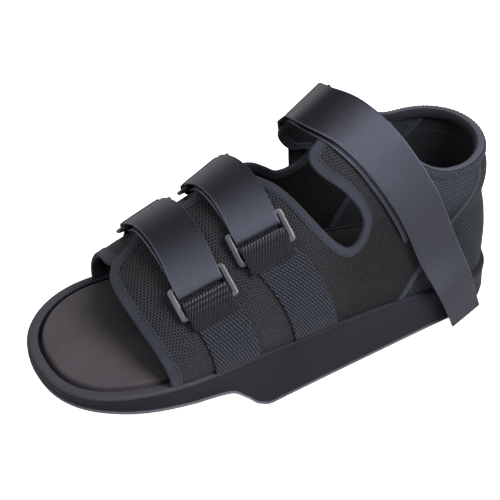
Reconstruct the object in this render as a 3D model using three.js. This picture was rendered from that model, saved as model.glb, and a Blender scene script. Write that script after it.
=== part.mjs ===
// Postoperative shoe for the forefoot: a wedge sole that lifts the toes clear of the floor, an open
// toe, two spacer-mesh side panels, a heel counter, a padded collar and three doubled straps.
// Millimetres, +Z up. The toe points to -X, the heel to +X, and the wedge stands on Z = 0.
import * as THREE from 'three';

const { Vector3 } = THREE;
const { clamp, degToRad, lerp, smoothstep } = THREE.MathUtils;
const UP = new Vector3(0, 0, 1);

// Driving dimensions of the sole.
const TOE_X = -145;
const BALL_X = -75;
const SEAT_X = 100;
const HEEL_X = 145;
const BALL_HALF = 53.2;
const SEAT_HALF = 38.2;
const TOE_POWER = 2.48;
const TOE_ROOT = 2.32;
const HEEL_POWER = 2.2;
const OUTSOLE_THICK = 1.7;
const OUTSOLE_LIP = 0.3;
const RIM_WIDTH = 5;
const RIM_ROUND = 1.2;
const FOOT_ROUND = 0.9;
const TRAY_INSET = 8.2;
const TRAY_DEPTH = 5;
const INSOLE_THICK = 3;
const INSOLE_ROOM = 0.6;
const INSOLE_ROUND = 1.6;

// Driving dimensions of the upper.
const CLEAR = 0.3;
const CLOTH = 2;
const TAPE_PROUD = 0.3;
const TAPE_WIDTH = 8;
const SEAM_HALF = 4;
const EDGE_INSET = 4.4;
const SIDE_SWELL = 3;
const SWELL_SHARE = 0.35;
const ARCH_POWER = 2.3;
const ANKLE_LEAN = 0.1;
const HEEL_START = 98;
const GIRTH_SCALE = 90;
const LAP_LIFT = CLOTH + 2 * TAPE_PROUD + CLEAR + 0.2;
const COLLAR_THICK = 6.8;
const COLLAR_HIGH = 8;
const COLLAR_LOW_X = 88;
const SLIT_X = 30;

// Driving dimensions of the straps, rings and webbing.
const STRAP_WIDTH = 26;
const STRAP_CROWN = 12;
const ANKLE_STRAP_WIDTH = 30;
const STRAP_THICK = 1.1;
const WEB_THICK = 1.4;
const WEB_RETURN = 12;
const LOOP_RADIUS = 2.4;
const BAR = 2.2;
const RING_END = 4;
const RING_HIGH = 19;
const RING_ROOM = 1;
const RING_ROUND = 2;
const RING_HOLE_ROUND = 0.6;

// Facets: steps along and across the pieces.
const EDGE_STEPS = 3;
const PANEL_ROWS = 14;
const SLIT_ROWS = 5;
const SEAM_ROWS = 7;
const VAMP_COLUMNS = 11;
const FLAP_COLUMNS = 6;
const COLLAR_COLUMNS = 4;
const TAPE_STEPS = 14;
const HEEL_ROWS = 8;
const HEEL_COLUMNS = 11;
const COLLAR_STEPS = 9;
const COLLAR_SIDES = 10;
const STRAP_STEPS = 9;
const TURN_STEPS = 5;
const WEB_STEPS = 10;
const ANKLE_STEPS = 26;
const ANKLE_UNDER_STEPS = 15;

const MIDNIGHT = 0x2e2f3a;
const TREAD_GREY = 0x6b6c74;
const FOOTBED_BROWN = 0x453f42;
const SLATE = 0x4a4c57;
const MESH_BLACK = 0x26272c;
const RING_GREY = 0x9a9ba0;
const RING_BLACK = 0x141416;

// Half-width of the sole behind the ball.
const SOLE_SIDE = [
  { x: BALL_X, half: BALL_HALF },
  { x: -15, half: 47.3 },
  { x: 40, half: 42.8 },
  { x: SEAT_X, half: SEAT_HALF },
];

// Underside of the shoe: the lifted plate, the notch and the flat wedge.
const UNDERSIDE = [
  { x: TOE_X, z: 37 },
  { x: -125, z: 36.2 },
  { x: -110, z: 34.4 },
  { x: -80, z: 30 },
  { x: -62, z: 26.4 },
  { x: -52, z: 23.2 },
  { x: -42, z: 13.6 },
  { x: -34, z: 4.5 },
  { x: -25, z: 0 },
  { x: HEEL_X, z: 0 },
];

// Height of the feather edge, where cloth meets sole.
const FEATHER = [
  { x: TOE_X, z: 46.5 },
  { x: -110, z: 48 },
  { x: -50, z: 43.2 },
  { x: -15, z: 40.3 },
  { x: 40, z: 36.3 },
  { x: SEAT_X, z: 27.5 },
  { x: HEEL_X, z: 20.5 },
];

// Height of the ridge over the forefoot, the instep and on up the shin.
const RIDGE = [
  { x: -112, z: 67 },
  { x: -95, z: 75.5 },
  { x: -85, z: 81.5 },
  { x: -70, z: 91 },
  { x: -48, z: 104.5 },
  { x: -30, z: 114 },
  { x: -10, z: 127 },
  { x: 18, z: 144 },
  { x: 42, z: 153 },
  { x: 52, z: 158 },
  { x: 80, z: 180 },
  { x: 110, z: 215 },
  { x: 150, z: 270 },
];

// Back of the heel, by height.
const HEEL_BACK = [
  { z: 18, x: 140.5 },
  { z: 45, x: 140 },
  { z: 60, x: 138 },
  { z: 80, x: 133.5 },
  { z: 95, x: 132.5 },
  { z: 112, x: 131 },
];

// Centre of the collar roll, from the ankle flap back to the heel.
const COLLAR = [
  { x: 54.5, z: 152 },
  { x: 57, z: 146.8 },
  { x: 63, z: 133 },
  { x: 69.5, z: 122.7 },
  { x: 79, z: 114 },
  { x: 87, z: 109.3 },
  { x: 95, z: 106.5 },
  { x: 105, z: 105.5 },
  { x: 120, z: 106 },
  { x: 136, z: 107.5 },
];

// Curved seam between side panel and heel counter.
const SEAM = [
  { z: 20, x: 57 },
  { z: 33, x: 64 },
  { z: 53, x: 77 },
  { z: 66, x: 88 },
  { z: 75, x: 97 },
  { z: 84, x: 105 },
  { z: 94, x: 112.5 },
  { z: 106, x: 119 },
];

// Free edge of a side panel above the front edge; rise is 0 at the sole and 1 on the ridge.
const FRONT_EDGE = [
  { x: -89, rise: 0 },
  { x: -92, rise: 0.26 },
  { x: -94, rise: 0.48 },
  { x: -95.5, rise: 0.68 },
];
const VAMP_TOP = [
  { x: -95, below: 0.26 },
  { x: -92.5, below: 0.11 },
  { x: -87, below: 0.03, mark: 'frontTop' },
  { x: -77, below: 0 },
  { x: -62, below: 0 },
  { x: -45, below: 0.03 },
  { x: -30, below: 0.09 },
  { x: -20, below: 0.16, mark: 'backTop' },
  { x: -13, below: 0.24 },
];
const THROAT_FRONT = [
  { x: -6, rise: 0.8 },
  { x: -1, rise: 0.66 },
  { x: 5, rise: 0.515 },
  { x: 12, rise: 0.392 },
  { x: 19, rise: 0.31 },
  { x: 27, rise: 0.262, mark: 'pit' },
];
const THROAT_BACK = [
  { x: 33.5, rise: 0.282 },
  { x: 36.5, rise: 0.33 },
  { x: 34.5, rise: 0.39 },
  { x: 30.5, rise: 0.45 },
  { x: 25, rise: 0.525 },
  { x: 18, rise: 0.615 },
];
const FLAP_END = [
  { x: 14, rise: 0.7 },
  { x: 14, rise: 0.79, mark: 'tip' },
  { x: 22, rise: 0.84 },
  { x: 31, rise: 0.855 },
  { x: 40, rise: 0.85 },
  { x: 48, rise: 0.81 },
  { x: 53, rise: 0.745 },
];

// The two sides: how far the vamp flap reaches, and how the far side's edges differ from the near side's.
const NEAR = {
  mirror: false,
  lapped: true,
  reach: 1.22,
  frontBack: 0,
  cornerAhead: 0,
  throatBack: 0,
  flapDrop: 0,
  flapBack: 0,
  collarX: 57,
};
const FAR = {
  mirror: true,
  lapped: false,
  reach: 0.98,
  frontBack: 6,
  cornerAhead: 14,
  throatBack: 7,
  flapDrop: 0.17,
  flapBack: 5,
  collarX: 63.5,
};

// The two forefoot straps: ring places on the last, and where each web leaves the sole.
const FOREFOOT_STRAPS = [
  {
    name: 'front',
    near: { x: -60, rise: 0.55, up: 4, down: 4, turn: -12, tilt: 0, base: -53, spread: 37 },
    far: { x: -59, rise: 1.38, up: 8, down: 6, turn: -9, tilt: 10, base: -50, spread: 37 },
  },
  {
    name: 'middle',
    near: { x: -23, rise: 0.6, up: 4, down: 4, turn: -14, tilt: 0, base: 3, spread: 29 },
    far: { x: -24, rise: 1.38, up: 6.5, down: 5.5, turn: -10, tilt: 10, base: 2, spread: 29 },
  },
];

// Ankle strap: the upper run from the far ring over the instep, then the free end down to the floor.
const ANKLE_RING = { x: 38, rise: 1.4, up: 2.8, down: 5, turn: 5, tilt: 0, base: 55, spread: 30 };
const ANKLE_RUN = [
  { x: 30, rise: 1, off: 5.8 },
  { x: 37.5, rise: 0.82, off: 6.6 },
  { x: 45, rise: 0.64, off: 6.8 },
  { x: 55, rise: 0.46, off: 7 },
  { x: 69, rise: 0.27, off: 7.2 },
  { x: 84, rise: 0.105, off: 7 },
];
const ANKLE_END = [
  { x: 97.5, y: -45.5, z: 35 },
  { x: 106, y: -43.5, z: 15 },
  { x: 112, y: -41.5, z: 1 },
];
const ANKLE_END_TURN = 18;
const ANKLE_UNDER_SHIFT = 5.5;
const ANKLE_UNDER_DROP = 1.8;

// Smooth monotone curve through the rows of a table.
function track(rows, from, to) {
  const xs = rows.map((row) => row[from]);
  const ys = rows.map((row) => row[to]);
  const last = xs.length - 1;
  const slopes = xs.slice(1).map((x, i) => (ys[i + 1] - ys[i]) / (x - xs[i]));
  const tangents = xs.map((_, i) => {
    if (i === 0) return slopes[0];
    if (i === last) return slopes[last - 1];
    const [a, b] = [slopes[i - 1], slopes[i]];
    return a * b > 0 ? (2 * a * b) / (a + b) : 0;
  });
  return (value) => {
    const x = clamp(value, xs[0], xs[last]);
    const i = Math.max(0, xs.findIndex((next) => x <= next) - 1);
    const span = xs[i + 1] - xs[i];
    const t = (x - xs[i]) / span;
    const start = (1 + 2 * t) * (1 - t) ** 2 * ys[i] + t * (1 - t) ** 2 * span * tangents[i];
    const end = t * t * (3 - 2 * t) * ys[i + 1] + t * t * (t - 1) * span * tangents[i + 1];
    return start + end;
  };
}

const soleSide = track(SOLE_SIDE, 'x', 'half');
const underside = track(UNDERSIDE, 'x', 'z');
const feather = track(FEATHER, 'x', 'z');
const ridge = track(RIDGE, 'x', 'z');
const heelBack = track(HEEL_BACK, 'z', 'x');
const collarZ = track(COLLAR, 'x', 'z');
const seamX = track(SEAM, 'z', 'x');

// Plan half-width of the sole.
function soleHalf(x) {
  if (x < BALL_X) {
    const t = clamp((BALL_X - x) / (BALL_X - TOE_X), 0, 1);
    return BALL_HALF * (1 - t ** TOE_POWER) ** (1 / TOE_ROOT);
  }
  const t = clamp((x - SEAT_X) / (HEEL_X - SEAT_X), 0, 1);
  return soleSide(x) * Math.sqrt(1 - t ** HEEL_POWER);
}

// The last, the foot form inside the upper: square of its half-breadth at a place and height.
function breadthSquared(x, z) {
  const height = Math.max(0, z - feather(x));
  const share = height / (ridge(x) - feather(x));
  const lean = 1 - ANKLE_LEAN * clamp((x - 20) / 60, 0, 1) * clamp(height / 80, 0, 1.5);
  const swell = SIDE_SWELL * (1 - (1 - Math.min(share / SWELL_SHARE, 1)) ** 2);
  const side = (x < BALL_X ? soleHalf(x) : soleSide(x)) - EDGE_INSET + swell;
  const back = Math.max(0, (x - HEEL_START) / (heelBack(z) - HEEL_START));
  return (side * lean) ** 2 * (1 - share ** ARCH_POWER) * (1 - back ** HEEL_POWER);
}

function lastGradient(p) {
  const d = 0.05;
  return new Vector3(
    (breadthSquared(p.x - d, p.z) - breadthSquared(p.x + d, p.z)) / (2 * d),
    2 * p.y,
    (breadthSquared(p.x, p.z - d) - breadthSquared(p.x, p.z + d)) / (2 * d),
  );
}

const outward = (p) => lastGradient(p).normalize();
const spotAt = (p) => ({ p, n: outward(p) });

// Point on the near side of the last at a given place and height.
function atHeight(x, z) {
  return spotAt(new Vector3(x, -Math.sqrt(Math.max(0, breadthSquared(x, z))), z));
}

// Point on the last by place and rise: 0 near sole, 1 ridge, 2 far sole.
function onLast(x, rise) {
  const climb = rise > 1 ? 2 - rise : rise;
  const share = Math.sin((climb * Math.PI) / 2) ** (2 / ARCH_POWER);
  const spot = atHeight(x, feather(x) + (ridge(x) - feather(x)) * share);
  return rise > 1 ? mirrored(spot) : spot;
}

function mirrored({ p, n }) {
  return { p: new Vector3(p.x, -p.y, p.z), n: new Vector3(n.x, -n.y, n.z) };
}

function riseOf(p) {
  const share = clamp((p.z - feather(p.x)) / (ridge(p.x) - feather(p.x)), 0, 1);
  const climb = (2 / Math.PI) * Math.asin(Math.min(1, share ** (ARCH_POWER / 2)));
  return p.y > 0 ? 2 - climb : climb;
}

// Brings a point near the last onto it.
function settle(start) {
  const p = start.clone();
  for (let step = 0; step < 5; step += 1) {
    const g = lastGradient(p);
    const miss = p.y * p.y - breadthSquared(p.x, p.z);
    p.addScaledVector(g, -miss / g.lengthSq());
  }
  p.z = Math.max(p.z, feather(p.x));
  return p;
}

const lifted = (spot, off) => spot.p.clone().addScaledVector(spot.n, off);

// Extra height of the near vamp flap where it laps over the far one.
function lap(x, rise) {
  return LAP_LIFT * smoothstep(rise, 0.66, 0.9) * (1 - smoothstep(x, -36, -18));
}

// Closed solid from outward faces given as vertex lists.
function closedGeometry(points, faces) {
  let volume = 0;
  const triangles = [];
  for (const face of faces) {
    for (let k = 2; k < face.length; k += 1) {
      const [a, b, c] = [face[0], face[k - 1], face[k]];
      triangles.push([a, b, c]);
      volume += points[a].dot(points[b].clone().cross(points[c]));
    }
  }
  const index = triangles.flatMap(([a, b, c]) => (volume > 0 ? [a, b, c] : [a, c, b]));
  const geometry = new THREE.BufferGeometry().setFromPoints(points);
  geometry.setIndex(index);
  geometry.computeVertexNormals();
  return geometry;
}

// A sheet with thickness: an outer and an inner skin joined along every free edge.
class Sheet {
  constructor() {
    this.outer = [];
    this.inner = [];
    this.quads = [];
  }

  add(outer, inner) {
    this.outer.push(outer);
    this.inner.push(inner);
    return this.outer.length - 1;
  }

  grid(rows, closed = false) {
    const count = closed ? rows.length : rows.length - 1;
    for (let i = 0; i < count; i += 1) {
      const [row, next] = [rows[i], rows[(i + 1) % rows.length]];
      for (let j = 0; j + 1 < row.length; j += 1) {
        this.quads.push([row[j], row[j + 1], next[j + 1], next[j]]);
      }
    }
  }

  geometry() {
    const shift = this.outer.length;
    const edges = new Set();
    const faces = [];
    for (const quad of this.quads) {
      faces.push(quad, quad.map((k) => k + shift).reverse());
      quad.forEach((a, k) => edges.add(`${a} ${quad[(k + 1) % 4]}`));
    }
    for (const edge of edges) {
      const [a, b] = edge.split(' ').map(Number);
      if (!edges.has(`${b} ${a}`)) faces.push([b, a, a + shift, b + shift]);
    }
    return closedGeometry([...this.outer, ...this.inner], faces);
  }
}

// Skins the rows of spots on the last between two offsets from it.
function clothSheet(rows, low, high) {
  const sheet = new Sheet();
  sheet.grid(rows.map((row) => row.map((spot) => sheet.add(
    lifted(spot, high + (spot.lap ?? 0)),
    lifted(spot, low + (spot.lap ?? 0)),
  ))));
  return sheet.geometry();
}

// Flat band along a path of centres and width directions.
function ribbon(path, width, thick, closed = false) {
  const sheet = new Sheet();
  const count = path.length;
  const rows = path.map(({ c, b, wide = width }, i) => {
    const before = path[closed ? (i + count - 1) % count : Math.max(0, i - 1)].c;
    const after = path[closed ? (i + 1) % count : Math.min(count - 1, i + 1)].c;
    const n = b.clone().cross(after.clone().sub(before)).setLength(thick / 2);
    return [-wide / 2, 0, wide / 2].map((reach) => {
      const p = c.clone().addScaledVector(b, reach);
      return sheet.add(p.clone().add(n), p.clone().sub(n));
    });
  });
  sheet.grid(rows, closed);
  return sheet.geometry();
}

// Stack of closed rings with the same count, capped by fans or by bars across the sole.
function ringStack(rings, capOf) {
  const count = rings[0].length;
  const faces = [];
  rings.slice(1).forEach((_, r) => {
    for (let k = 0; k < count; k += 1) {
      const next = (k + 1) % count;
      faces.push([r * count + k, r * count + next, (r + 1) * count + next, (r + 1) * count + k]);
    }
  });
  const top = (rings.length - 1) * count;
  for (const face of capOf(count)) {
    faces.push([...face].reverse(), face.map((k) => k + top));
  }
  return closedGeometry(rings.flat(), faces);
}

const fanCap = (count) => [Array.from({ length: count }, (_, k) => k)];

// Cap made of strips between opposite points of a loop that starts at the toe.
function barCap(count) {
  const faces = [[0, 1, count - 1]];
  for (let k = 1; k < count / 2 - 1; k += 1) faces.push([k, k + 1, count - k - 1, count - k]);
  faces.push([count / 2 - 1, count / 2, count / 2 + 1]);
  return faces;
}

// Stations down one side of the sole, close together where the outline or underside bends.
function soleStations() {
  const ends = [1, 2, 3, 4, 5, 6, 7].map((k) => (1 - k / 8) ** 2);
  const toe = ends.map((t) => TOE_X + (BALL_X - TOE_X) * t).reverse();
  const heel = ends.map((t) => HEEL_X - (HEEL_X - SEAT_X) * t);
  const notch = [BALL_X, -68, -62, -57, -52, -47, -42, -38, -34, -30, -25];
  const waist = [-10, 10, 30, 50, 70, 86, SEAT_X];
  return [...toe.sort((a, b) => a - b), ...notch, ...waist, ...heel];
}

const STATIONS = soleStations();
const OUTLINE = [
  new Vector3(TOE_X, 0, 0),
  ...STATIONS.map((x) => new Vector3(x, -soleHalf(x), 0)),
  new Vector3(HEEL_X, 0, 0),
  ...[...STATIONS].reverse().map((x) => new Vector3(x, soleHalf(x), 0)),
];

// Outline moved inwards, at the heights that zOf gives.
function soleRing(inset, zOf) {
  const count = OUTLINE.length;
  return OUTLINE.map((p, k) => {
    const along = OUTLINE[(k + 1) % count].clone().sub(OUTLINE[(k + count - 1) % count]);
    const inward = new Vector3(-along.y, along.x, 0).setLength(inset);
    const q = p.clone().add(inward);
    q.z = zOf(p.x);
    return q;
  });
}

const rimTop = (x) => feather(x) - 2 * CLEAR;
const trayFloor = (x) => feather(x) - TRAY_DEPTH;
const foamBottom = (x) => underside(x) + OUTSOLE_THICK + CLEAR;

function soleGeometry() {
  return ringStack([
    soleRing(FOOT_ROUND, foamBottom),
    soleRing(0, (x) => foamBottom(x) + 1.5 * FOOT_ROUND),
    soleRing(0, (x) => rimTop(x) - 1.3 * RIM_ROUND),
    soleRing(RIM_ROUND, rimTop),
    soleRing(RIM_ROUND + RIM_WIDTH, rimTop),
    soleRing(TRAY_INSET, trayFloor),
  ], barCap);
}

function outsoleGeometry() {
  return ringStack([
    soleRing(OUTSOLE_LIP + FOOT_ROUND, underside),
    soleRing(OUTSOLE_LIP, (x) => underside(x) + OUTSOLE_THICK / 3),
    soleRing(FOOT_ROUND, (x) => underside(x) + OUTSOLE_THICK),
  ], barCap);
}

function insoleGeometry() {
  const bottom = (x) => trayFloor(x) + CLEAR;
  return ringStack([
    soleRing(TRAY_INSET + INSOLE_ROOM, bottom),
    soleRing(TRAY_INSET + INSOLE_ROOM, (x) => bottom(x) + INSOLE_THICK - INSOLE_ROUND / 2),
    soleRing(TRAY_INSET + INSOLE_ROOM + INSOLE_ROUND, (x) => bottom(x) + INSOLE_THICK),
  ], barCap);
}

// Free edge of a panel as spots on the near side, with the rows that are its corners.
function freeEdge({ reach, frontBack, cornerAhead, throatBack, flapDrop, flapBack }) {
  const front = FRONT_EDGE.map(({ x, rise }) => ({ x: x + frontBack * smoothstep(rise, 0, 0.4), rise }));
  const top = VAMP_TOP.map(({ x, below, mark }) => ({
    x: x < BALL_X ? x + frontBack : x - cornerAhead * smoothstep(x, -62, -20), rise: reach - below, mark,
  }));
  const corner = top[top.length - 1];
  const short = 0.8 * (NEAR.reach - reach);
  const dip = THROAT_FRONT.map(({ x, rise, mark }) => ({
    x: x - cornerAhead * (1 - smoothstep(x, -6, 20)), rise: rise - short * smoothstep(rise, 0.4, 0.8), mark,
  }));
  const turn = { x: (corner.x + dip[0].x) / 2, rise: (corner.rise + dip[0].rise) / 2 };
  const back = THROAT_BACK.map(({ x, rise }) => (
    { x: x + throatBack, rise: rise - flapDrop * smoothstep(rise, 0.28, 0.58) }));
  const flap = FLAP_END.map(({ x, rise, mark }) => ({
    x: x + lerp(throatBack, flapBack, smoothstep(x, 14, 53)), rise: rise - flapDrop, mark,
  }));
  const rows = [...front, ...top, turn, ...dip, ...back, ...flap];
  const curve = new THREE.CatmullRomCurve3(
    rows.map(({ x, rise }) => new Vector3(x, rise * GIRTH_SCALE, 0)), false, 'centripetal');
  const end = (rows.length - 1) * EDGE_STEPS;
  const spots = Array.from({ length: end + 1 }, (_, i) => {
    const q = curve.getPoint(i / end);
    return onLast(q.x, q.y / GIRTH_SCALE);
  });
  const marks = { end };
  rows.forEach(({ mark }, i) => {
    if (mark) marks[mark] = i * EDGE_STEPS;
  });
  return { spots, ...marks };
}

// The free edge moved into the panel along its surface.
function edgeInside(spots, inset) {
  return spots.map(({ p, n }, i) => {
    const before = spots[Math.max(0, i - 1)].p;
    const after = spots[Math.min(spots.length - 1, i + 1)].p;
    const inward = after.clone().sub(before).cross(n).setLength(inset);
    return spotAt(settle(p.clone().add(inward)));
  });
}

const withLap = (lapped) => (spot) => ({
  ...spot, lap: lapped ? lap(spot.p.x, riseOf(spot.p)) : 0,
});

// Points of a polyline at even steps along its length.
function evenly(points, count) {
  const lengths = [0];
  points.slice(1).forEach((p, i) => lengths.push(lengths[i] + p.distanceTo(points[i])));
  const total = lengths[lengths.length - 1];
  return Array.from({ length: count + 1 }, (_, k) => {
    const want = (total * k) / count;
    const i = Math.min(points.length - 2, Math.max(0, lengths.findIndex((l) => l >= want) - 1));
    const t = (want - lengths[i]) / (lengths[i + 1] - lengths[i]);
    return points[i].clone().lerp(points[i + 1], t);
  });
}

// Place on the seam at a share of the way from sole to collar, moved along the shoe by shift.
function seamSpot(share, shift) {
  let x = SEAT_X;
  let z = 0;
  for (let step = 0; step < 30; step += 1) {
    z = lerp(feather(x), collarFoot(x), share);
    x = lerp(x, seamX(z) + shift, 0.5);
  }
  return atHeight(x, z);
}

// Height of cloth just under the collar roll, measured square to the roll where it climbs.
function collarFoot(x) {
  const slope = collarZ(x + 0.5) - collarZ(x - 0.5);
  return collarZ(x) - (COLLAR_HIGH / 2 + 2 * CLEAR) * Math.hypot(1, slope);
}

// Spots along the foot of the collar roll, from one x to another on the near side.
function collarFootSpots(fromX, toX, count) {
  return Array.from({ length: count + 1 }, (_, k) => {
    const x = lerp(fromX, toX, k / count);
    return atHeight(x, collarFoot(x));
  });
}

// Blends four sides of a patch in place and rise, row by row.
function patch(left, right, bottom, top) {
  const rows = left.length - 1;
  const cols = bottom.length - 1;
  const mix = (a, b, t) => ({ x: lerp(a.x, b.x, t), rise: lerp(a.rise, b.rise, t) });
  return left.map((start, j) => bottom.map((foot, i) => {
    const [u, v] = [i / cols, j / rows];
    const across = mix(start, right[j], u);
    const up = mix(foot, top[i], v);
    const corners = mix(mix(bottom[0], bottom[cols], u), mix(top[0], top[cols], u), v);
    return onLast(across.x + up.x - corners.x, across.rise + up.rise - corners.rise);
  }));
}

function panelGeometry(side) {
  const { lapped, mirror } = side;
  const { spots, frontTop, backTop, pit, tip, end } = freeEdge(side);
  const inner = edgeInside(spots, TAPE_WIDTH + 3 * CLEAR).map(({ p }) => p);
  const chart = (points, count) => evenly(points, count)
    .map((p) => ({ x: p.x, rise: riseOf(settle(p)) }));
  const line = (a, b, count) => Array.from({ length: count + 1 }, (_, k) => (
    { x: lerp(a.x, b.x, k / count), rise: lerp(a.rise, b.rise, k / count) }));
  const upper = PANEL_ROWS - SLIT_ROWS;

  const slitFoot = { x: SLIT_X, rise: 0 };
  const vampFront = chart(inner.slice(0, frontTop + 1), PANEL_ROWS);
  vampFront[0].rise = 0;
  const vampTop = chart(inner.slice(frontTop, backTop + 1), VAMP_COLUMNS);
  const throatFront = chart(inner.slice(backTop, pit + 1), upper).reverse();
  const slit = line(slitFoot, throatFront[0], SLIT_ROWS);
  const throatBack = chart(inner.slice(pit, tip + 1), upper);
  const flapTop = chart(inner.slice(tip, end + 1), FLAP_COLUMNS);

  const flapCorner = flapTop[FLAP_COLUMNS];
  const seamTop = seamSpot(1, -SEAM_HALF - CLEAR).p;
  const seamSide = chart(Array.from({ length: TAPE_STEPS + 1 }, (_, k) => (
    seamSpot(k / TAPE_STEPS, -SEAM_HALF - CLEAR).p)), SEAM_ROWS);
  seamSide[0].rise = 0;
  const cornerSpot = onLast(flapCorner.x, flapCorner.rise).p;
  const underRoll = (fromX, toX) => collarFootSpots(fromX, toX, PANEL_ROWS)
    .map(({ p }) => p)
    .filter(({ z }) => z < cornerSpot.z);
  const collarLow = chart(underRoll(COLLAR_LOW_X, seamTop.x), COLLAR_COLUMNS);
  const collarClimb = chart([...underRoll(COLLAR_LOW_X, flapCorner.x), cornerSpot], PANEL_ROWS - SEAM_ROWS);
  const waistStart = throatBack[SEAM_ROWS - SLIT_ROWS];
  const waist = line(waistStart, collarLow[0], FLAP_COLUMNS);

  const vamp = patch(
    vampFront,
    [...slit, ...throatFront.slice(1)],
    line(vampFront[0], slitFoot, VAMP_COLUMNS),
    vampTop,
  );
  const quarter = patch(
    [...slit, ...throatBack.slice(1, SEAM_ROWS - SLIT_ROWS + 1)],
    seamSide,
    line(slitFoot, seamSide[0], FLAP_COLUMNS + COLLAR_COLUMNS),
    [...waist, ...collarLow.slice(1)],
  );
  const flap = patch(throatBack.slice(SEAM_ROWS - SLIT_ROWS), collarClimb, waist, flapTop);

  const sheet = new Sheet();
  const place = (spot) => {
    const full = withLap(lapped)(spot);
    const turned = mirror ? mirrored(full) : full;
    return sheet.add(lifted(turned, CLOTH + full.lap), lifted(turned, full.lap));
  };
  const vampRows = vamp.map((row) => row.map(place));
  const quarterRows = quarter.map((row, j) => row.map((spot, i) => (
    i === 0 && j <= SLIT_ROWS ? vampRows[j][VAMP_COLUMNS] : place(spot))));
  const flapRows = flap.map((row, j) => (
    j === 0 ? quarterRows[SEAM_ROWS].slice(0, FLAP_COLUMNS + 1) : row.map(place)));
  sheet.grid(vampRows);
  sheet.grid(quarterRows);
  sheet.grid(flapRows);
  return sheet.geometry();
}

function bindingGeometry(side) {
  const { lapped, mirror } = side;
  const { spots } = freeEdge(side);
  const rows = [0, 0.5, 1].map((share) => edgeInside(spots, share * TAPE_WIDTH)
    .map(withLap(lapped))
    .map((spot) => (mirror ? { ...mirrored(spot), lap: spot.lap } : spot)));
  return clothSheet(rows, -TAPE_PROUD, CLOTH + TAPE_PROUD);
}

function seamTapeGeometry(mirror) {
  const rows = [-SEAM_HALF, 0, SEAM_HALF].map((shift) => Array.from({ length: TAPE_STEPS + 1 }, (_, k) => {
    const spot = seamSpot(k / TAPE_STEPS, shift);
    return mirror ? mirrored(spot) : spot;
  }));
  return clothSheet(rows, -TAPE_PROUD, CLOTH + TAPE_PROUD);
}

// Spots round the heel at a share of the way from sole to collar, near seam to far seam.
function heelRow(share, startX, count) {
  const half = Array.from({ length: count + 1 }, (_, k) => {
    const turn = Math.sin((k / count) * (Math.PI / 2));
    let x = startX;
    let z = 0;
    for (let step = 0; step < 6; step += 1) {
      z = lerp(feather(x), collarFoot(x), share);
      x = lerp(startX, heelBack(z), turn);
    }
    return atHeight(x, z);
  });
  return [...half, ...half.slice(0, -1).reverse().map(mirrored)];
}

function counterGeometry() {
  const shares = Array.from({ length: HEEL_ROWS + 1 }, (_, k) => k / HEEL_ROWS);
  const rows = shares.map((share) => (
    heelRow(share, seamSpot(share, SEAM_HALF + CLEAR).p.x, HEEL_COLUMNS)));
  return clothSheet(rows, 0, CLOTH);
}

// Places along one half of the collar, from its front end round to the middle of the heel.
function collarHalf(front) {
  const heel = heelBack(collarZ(HEEL_X));
  const climb = Array.from({ length: COLLAR_STEPS }, (_, k) => (
    lerp(front, COLLAR_LOW_X, (k / COLLAR_STEPS) ** 1.3)));
  const round = Array.from({ length: COLLAR_STEPS + 1 }, (_, k) => (
    lerp(COLLAR_LOW_X, heel, Math.sin((k / COLLAR_STEPS) * (Math.PI / 2)))));
  return [...climb, ...round].map((x) => atHeight(x, collarZ(x)));
}

// Padded roll: an oval carried round the ankle opening.
function collarGeometry() {
  const far = collarHalf(FAR.collarX).map(mirrored).reverse();
  const spots = [...collarHalf(NEAR.collarX), ...far.slice(1)];
  const rings = spots.map((spot, i) => {
    const before = spots[Math.max(0, i - 1)].p;
    const after = spots[Math.min(spots.length - 1, i + 1)].p;
    const up = spot.n.clone().cross(after.clone().sub(before)).normalize();
    const centre = lifted(spot, CLOTH / 2);
    return Array.from({ length: COLLAR_SIDES }, (_, k) => {
      const angle = (2 * Math.PI * k) / COLLAR_SIDES;
      return centre.clone()
        .addScaledVector(spot.n, (COLLAR_THICK / 2) * Math.cos(angle))
        .addScaledVector(up, (COLLAR_HIGH / 2) * Math.sin(angle));
    });
  });
  return ringStack(rings, fanCap);
}

// Direction along the shoe on the last, at one rise.
const alongShoe = (x, rise) => onLast(x + 2, rise).p.sub(onLast(x - 2, rise).p).normalize();

// Frame of a ring: bar direction a, g towards the ridge, n outwards, and both bar centres.
function ringFrame({ x, rise, up, down, turn, tilt }) {
  const side = rise > 1 ? -1 : 1;
  const { p, n: skin } = onLast(x, rise);
  const a = alongShoe(x, rise)
    .applyAxisAngle(skin, degToRad(turn * side))
    .addScaledVector(skin, -Math.tan(degToRad(tilt)))
    .normalize();
  const girth = skin.clone().cross(a).multiplyScalar(side).normalize();
  const g = girth.clone().multiplyScalar(RING_HIGH).addScaledVector(skin, up - down);
  g.addScaledVector(a, -g.dot(a)).normalize();
  const n = a.clone().cross(g).multiplyScalar(side).normalize();
  const centre = p.clone().addScaledVector(skin, CLOTH + (up + down) / 2);
  const arm = (RING_HIGH - BAR) / 2;
  return {
    a,
    g,
    n,
    centre,
    high: centre.clone().addScaledVector(g, arm),
    low: centre.clone().addScaledVector(g, -arm),
  };
}

function ringGeometry(bandWidth) {
  const halfX = bandWidth / 2 + RING_ROOM + RING_END;
  const halfY = RING_HIGH / 2;
  const frame = roundedBox(new THREE.Shape(), halfX, halfY, RING_ROUND);
  frame.holes.push(roundedBox(new THREE.Path(), halfX - RING_END, halfY - BAR, RING_HOLE_ROUND));
  const geometry = new THREE.ExtrudeGeometry(frame, { depth: BAR, bevelEnabled: false, curveSegments: 3 });
  return geometry.translate(0, 0, -BAR / 2);
}

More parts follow.
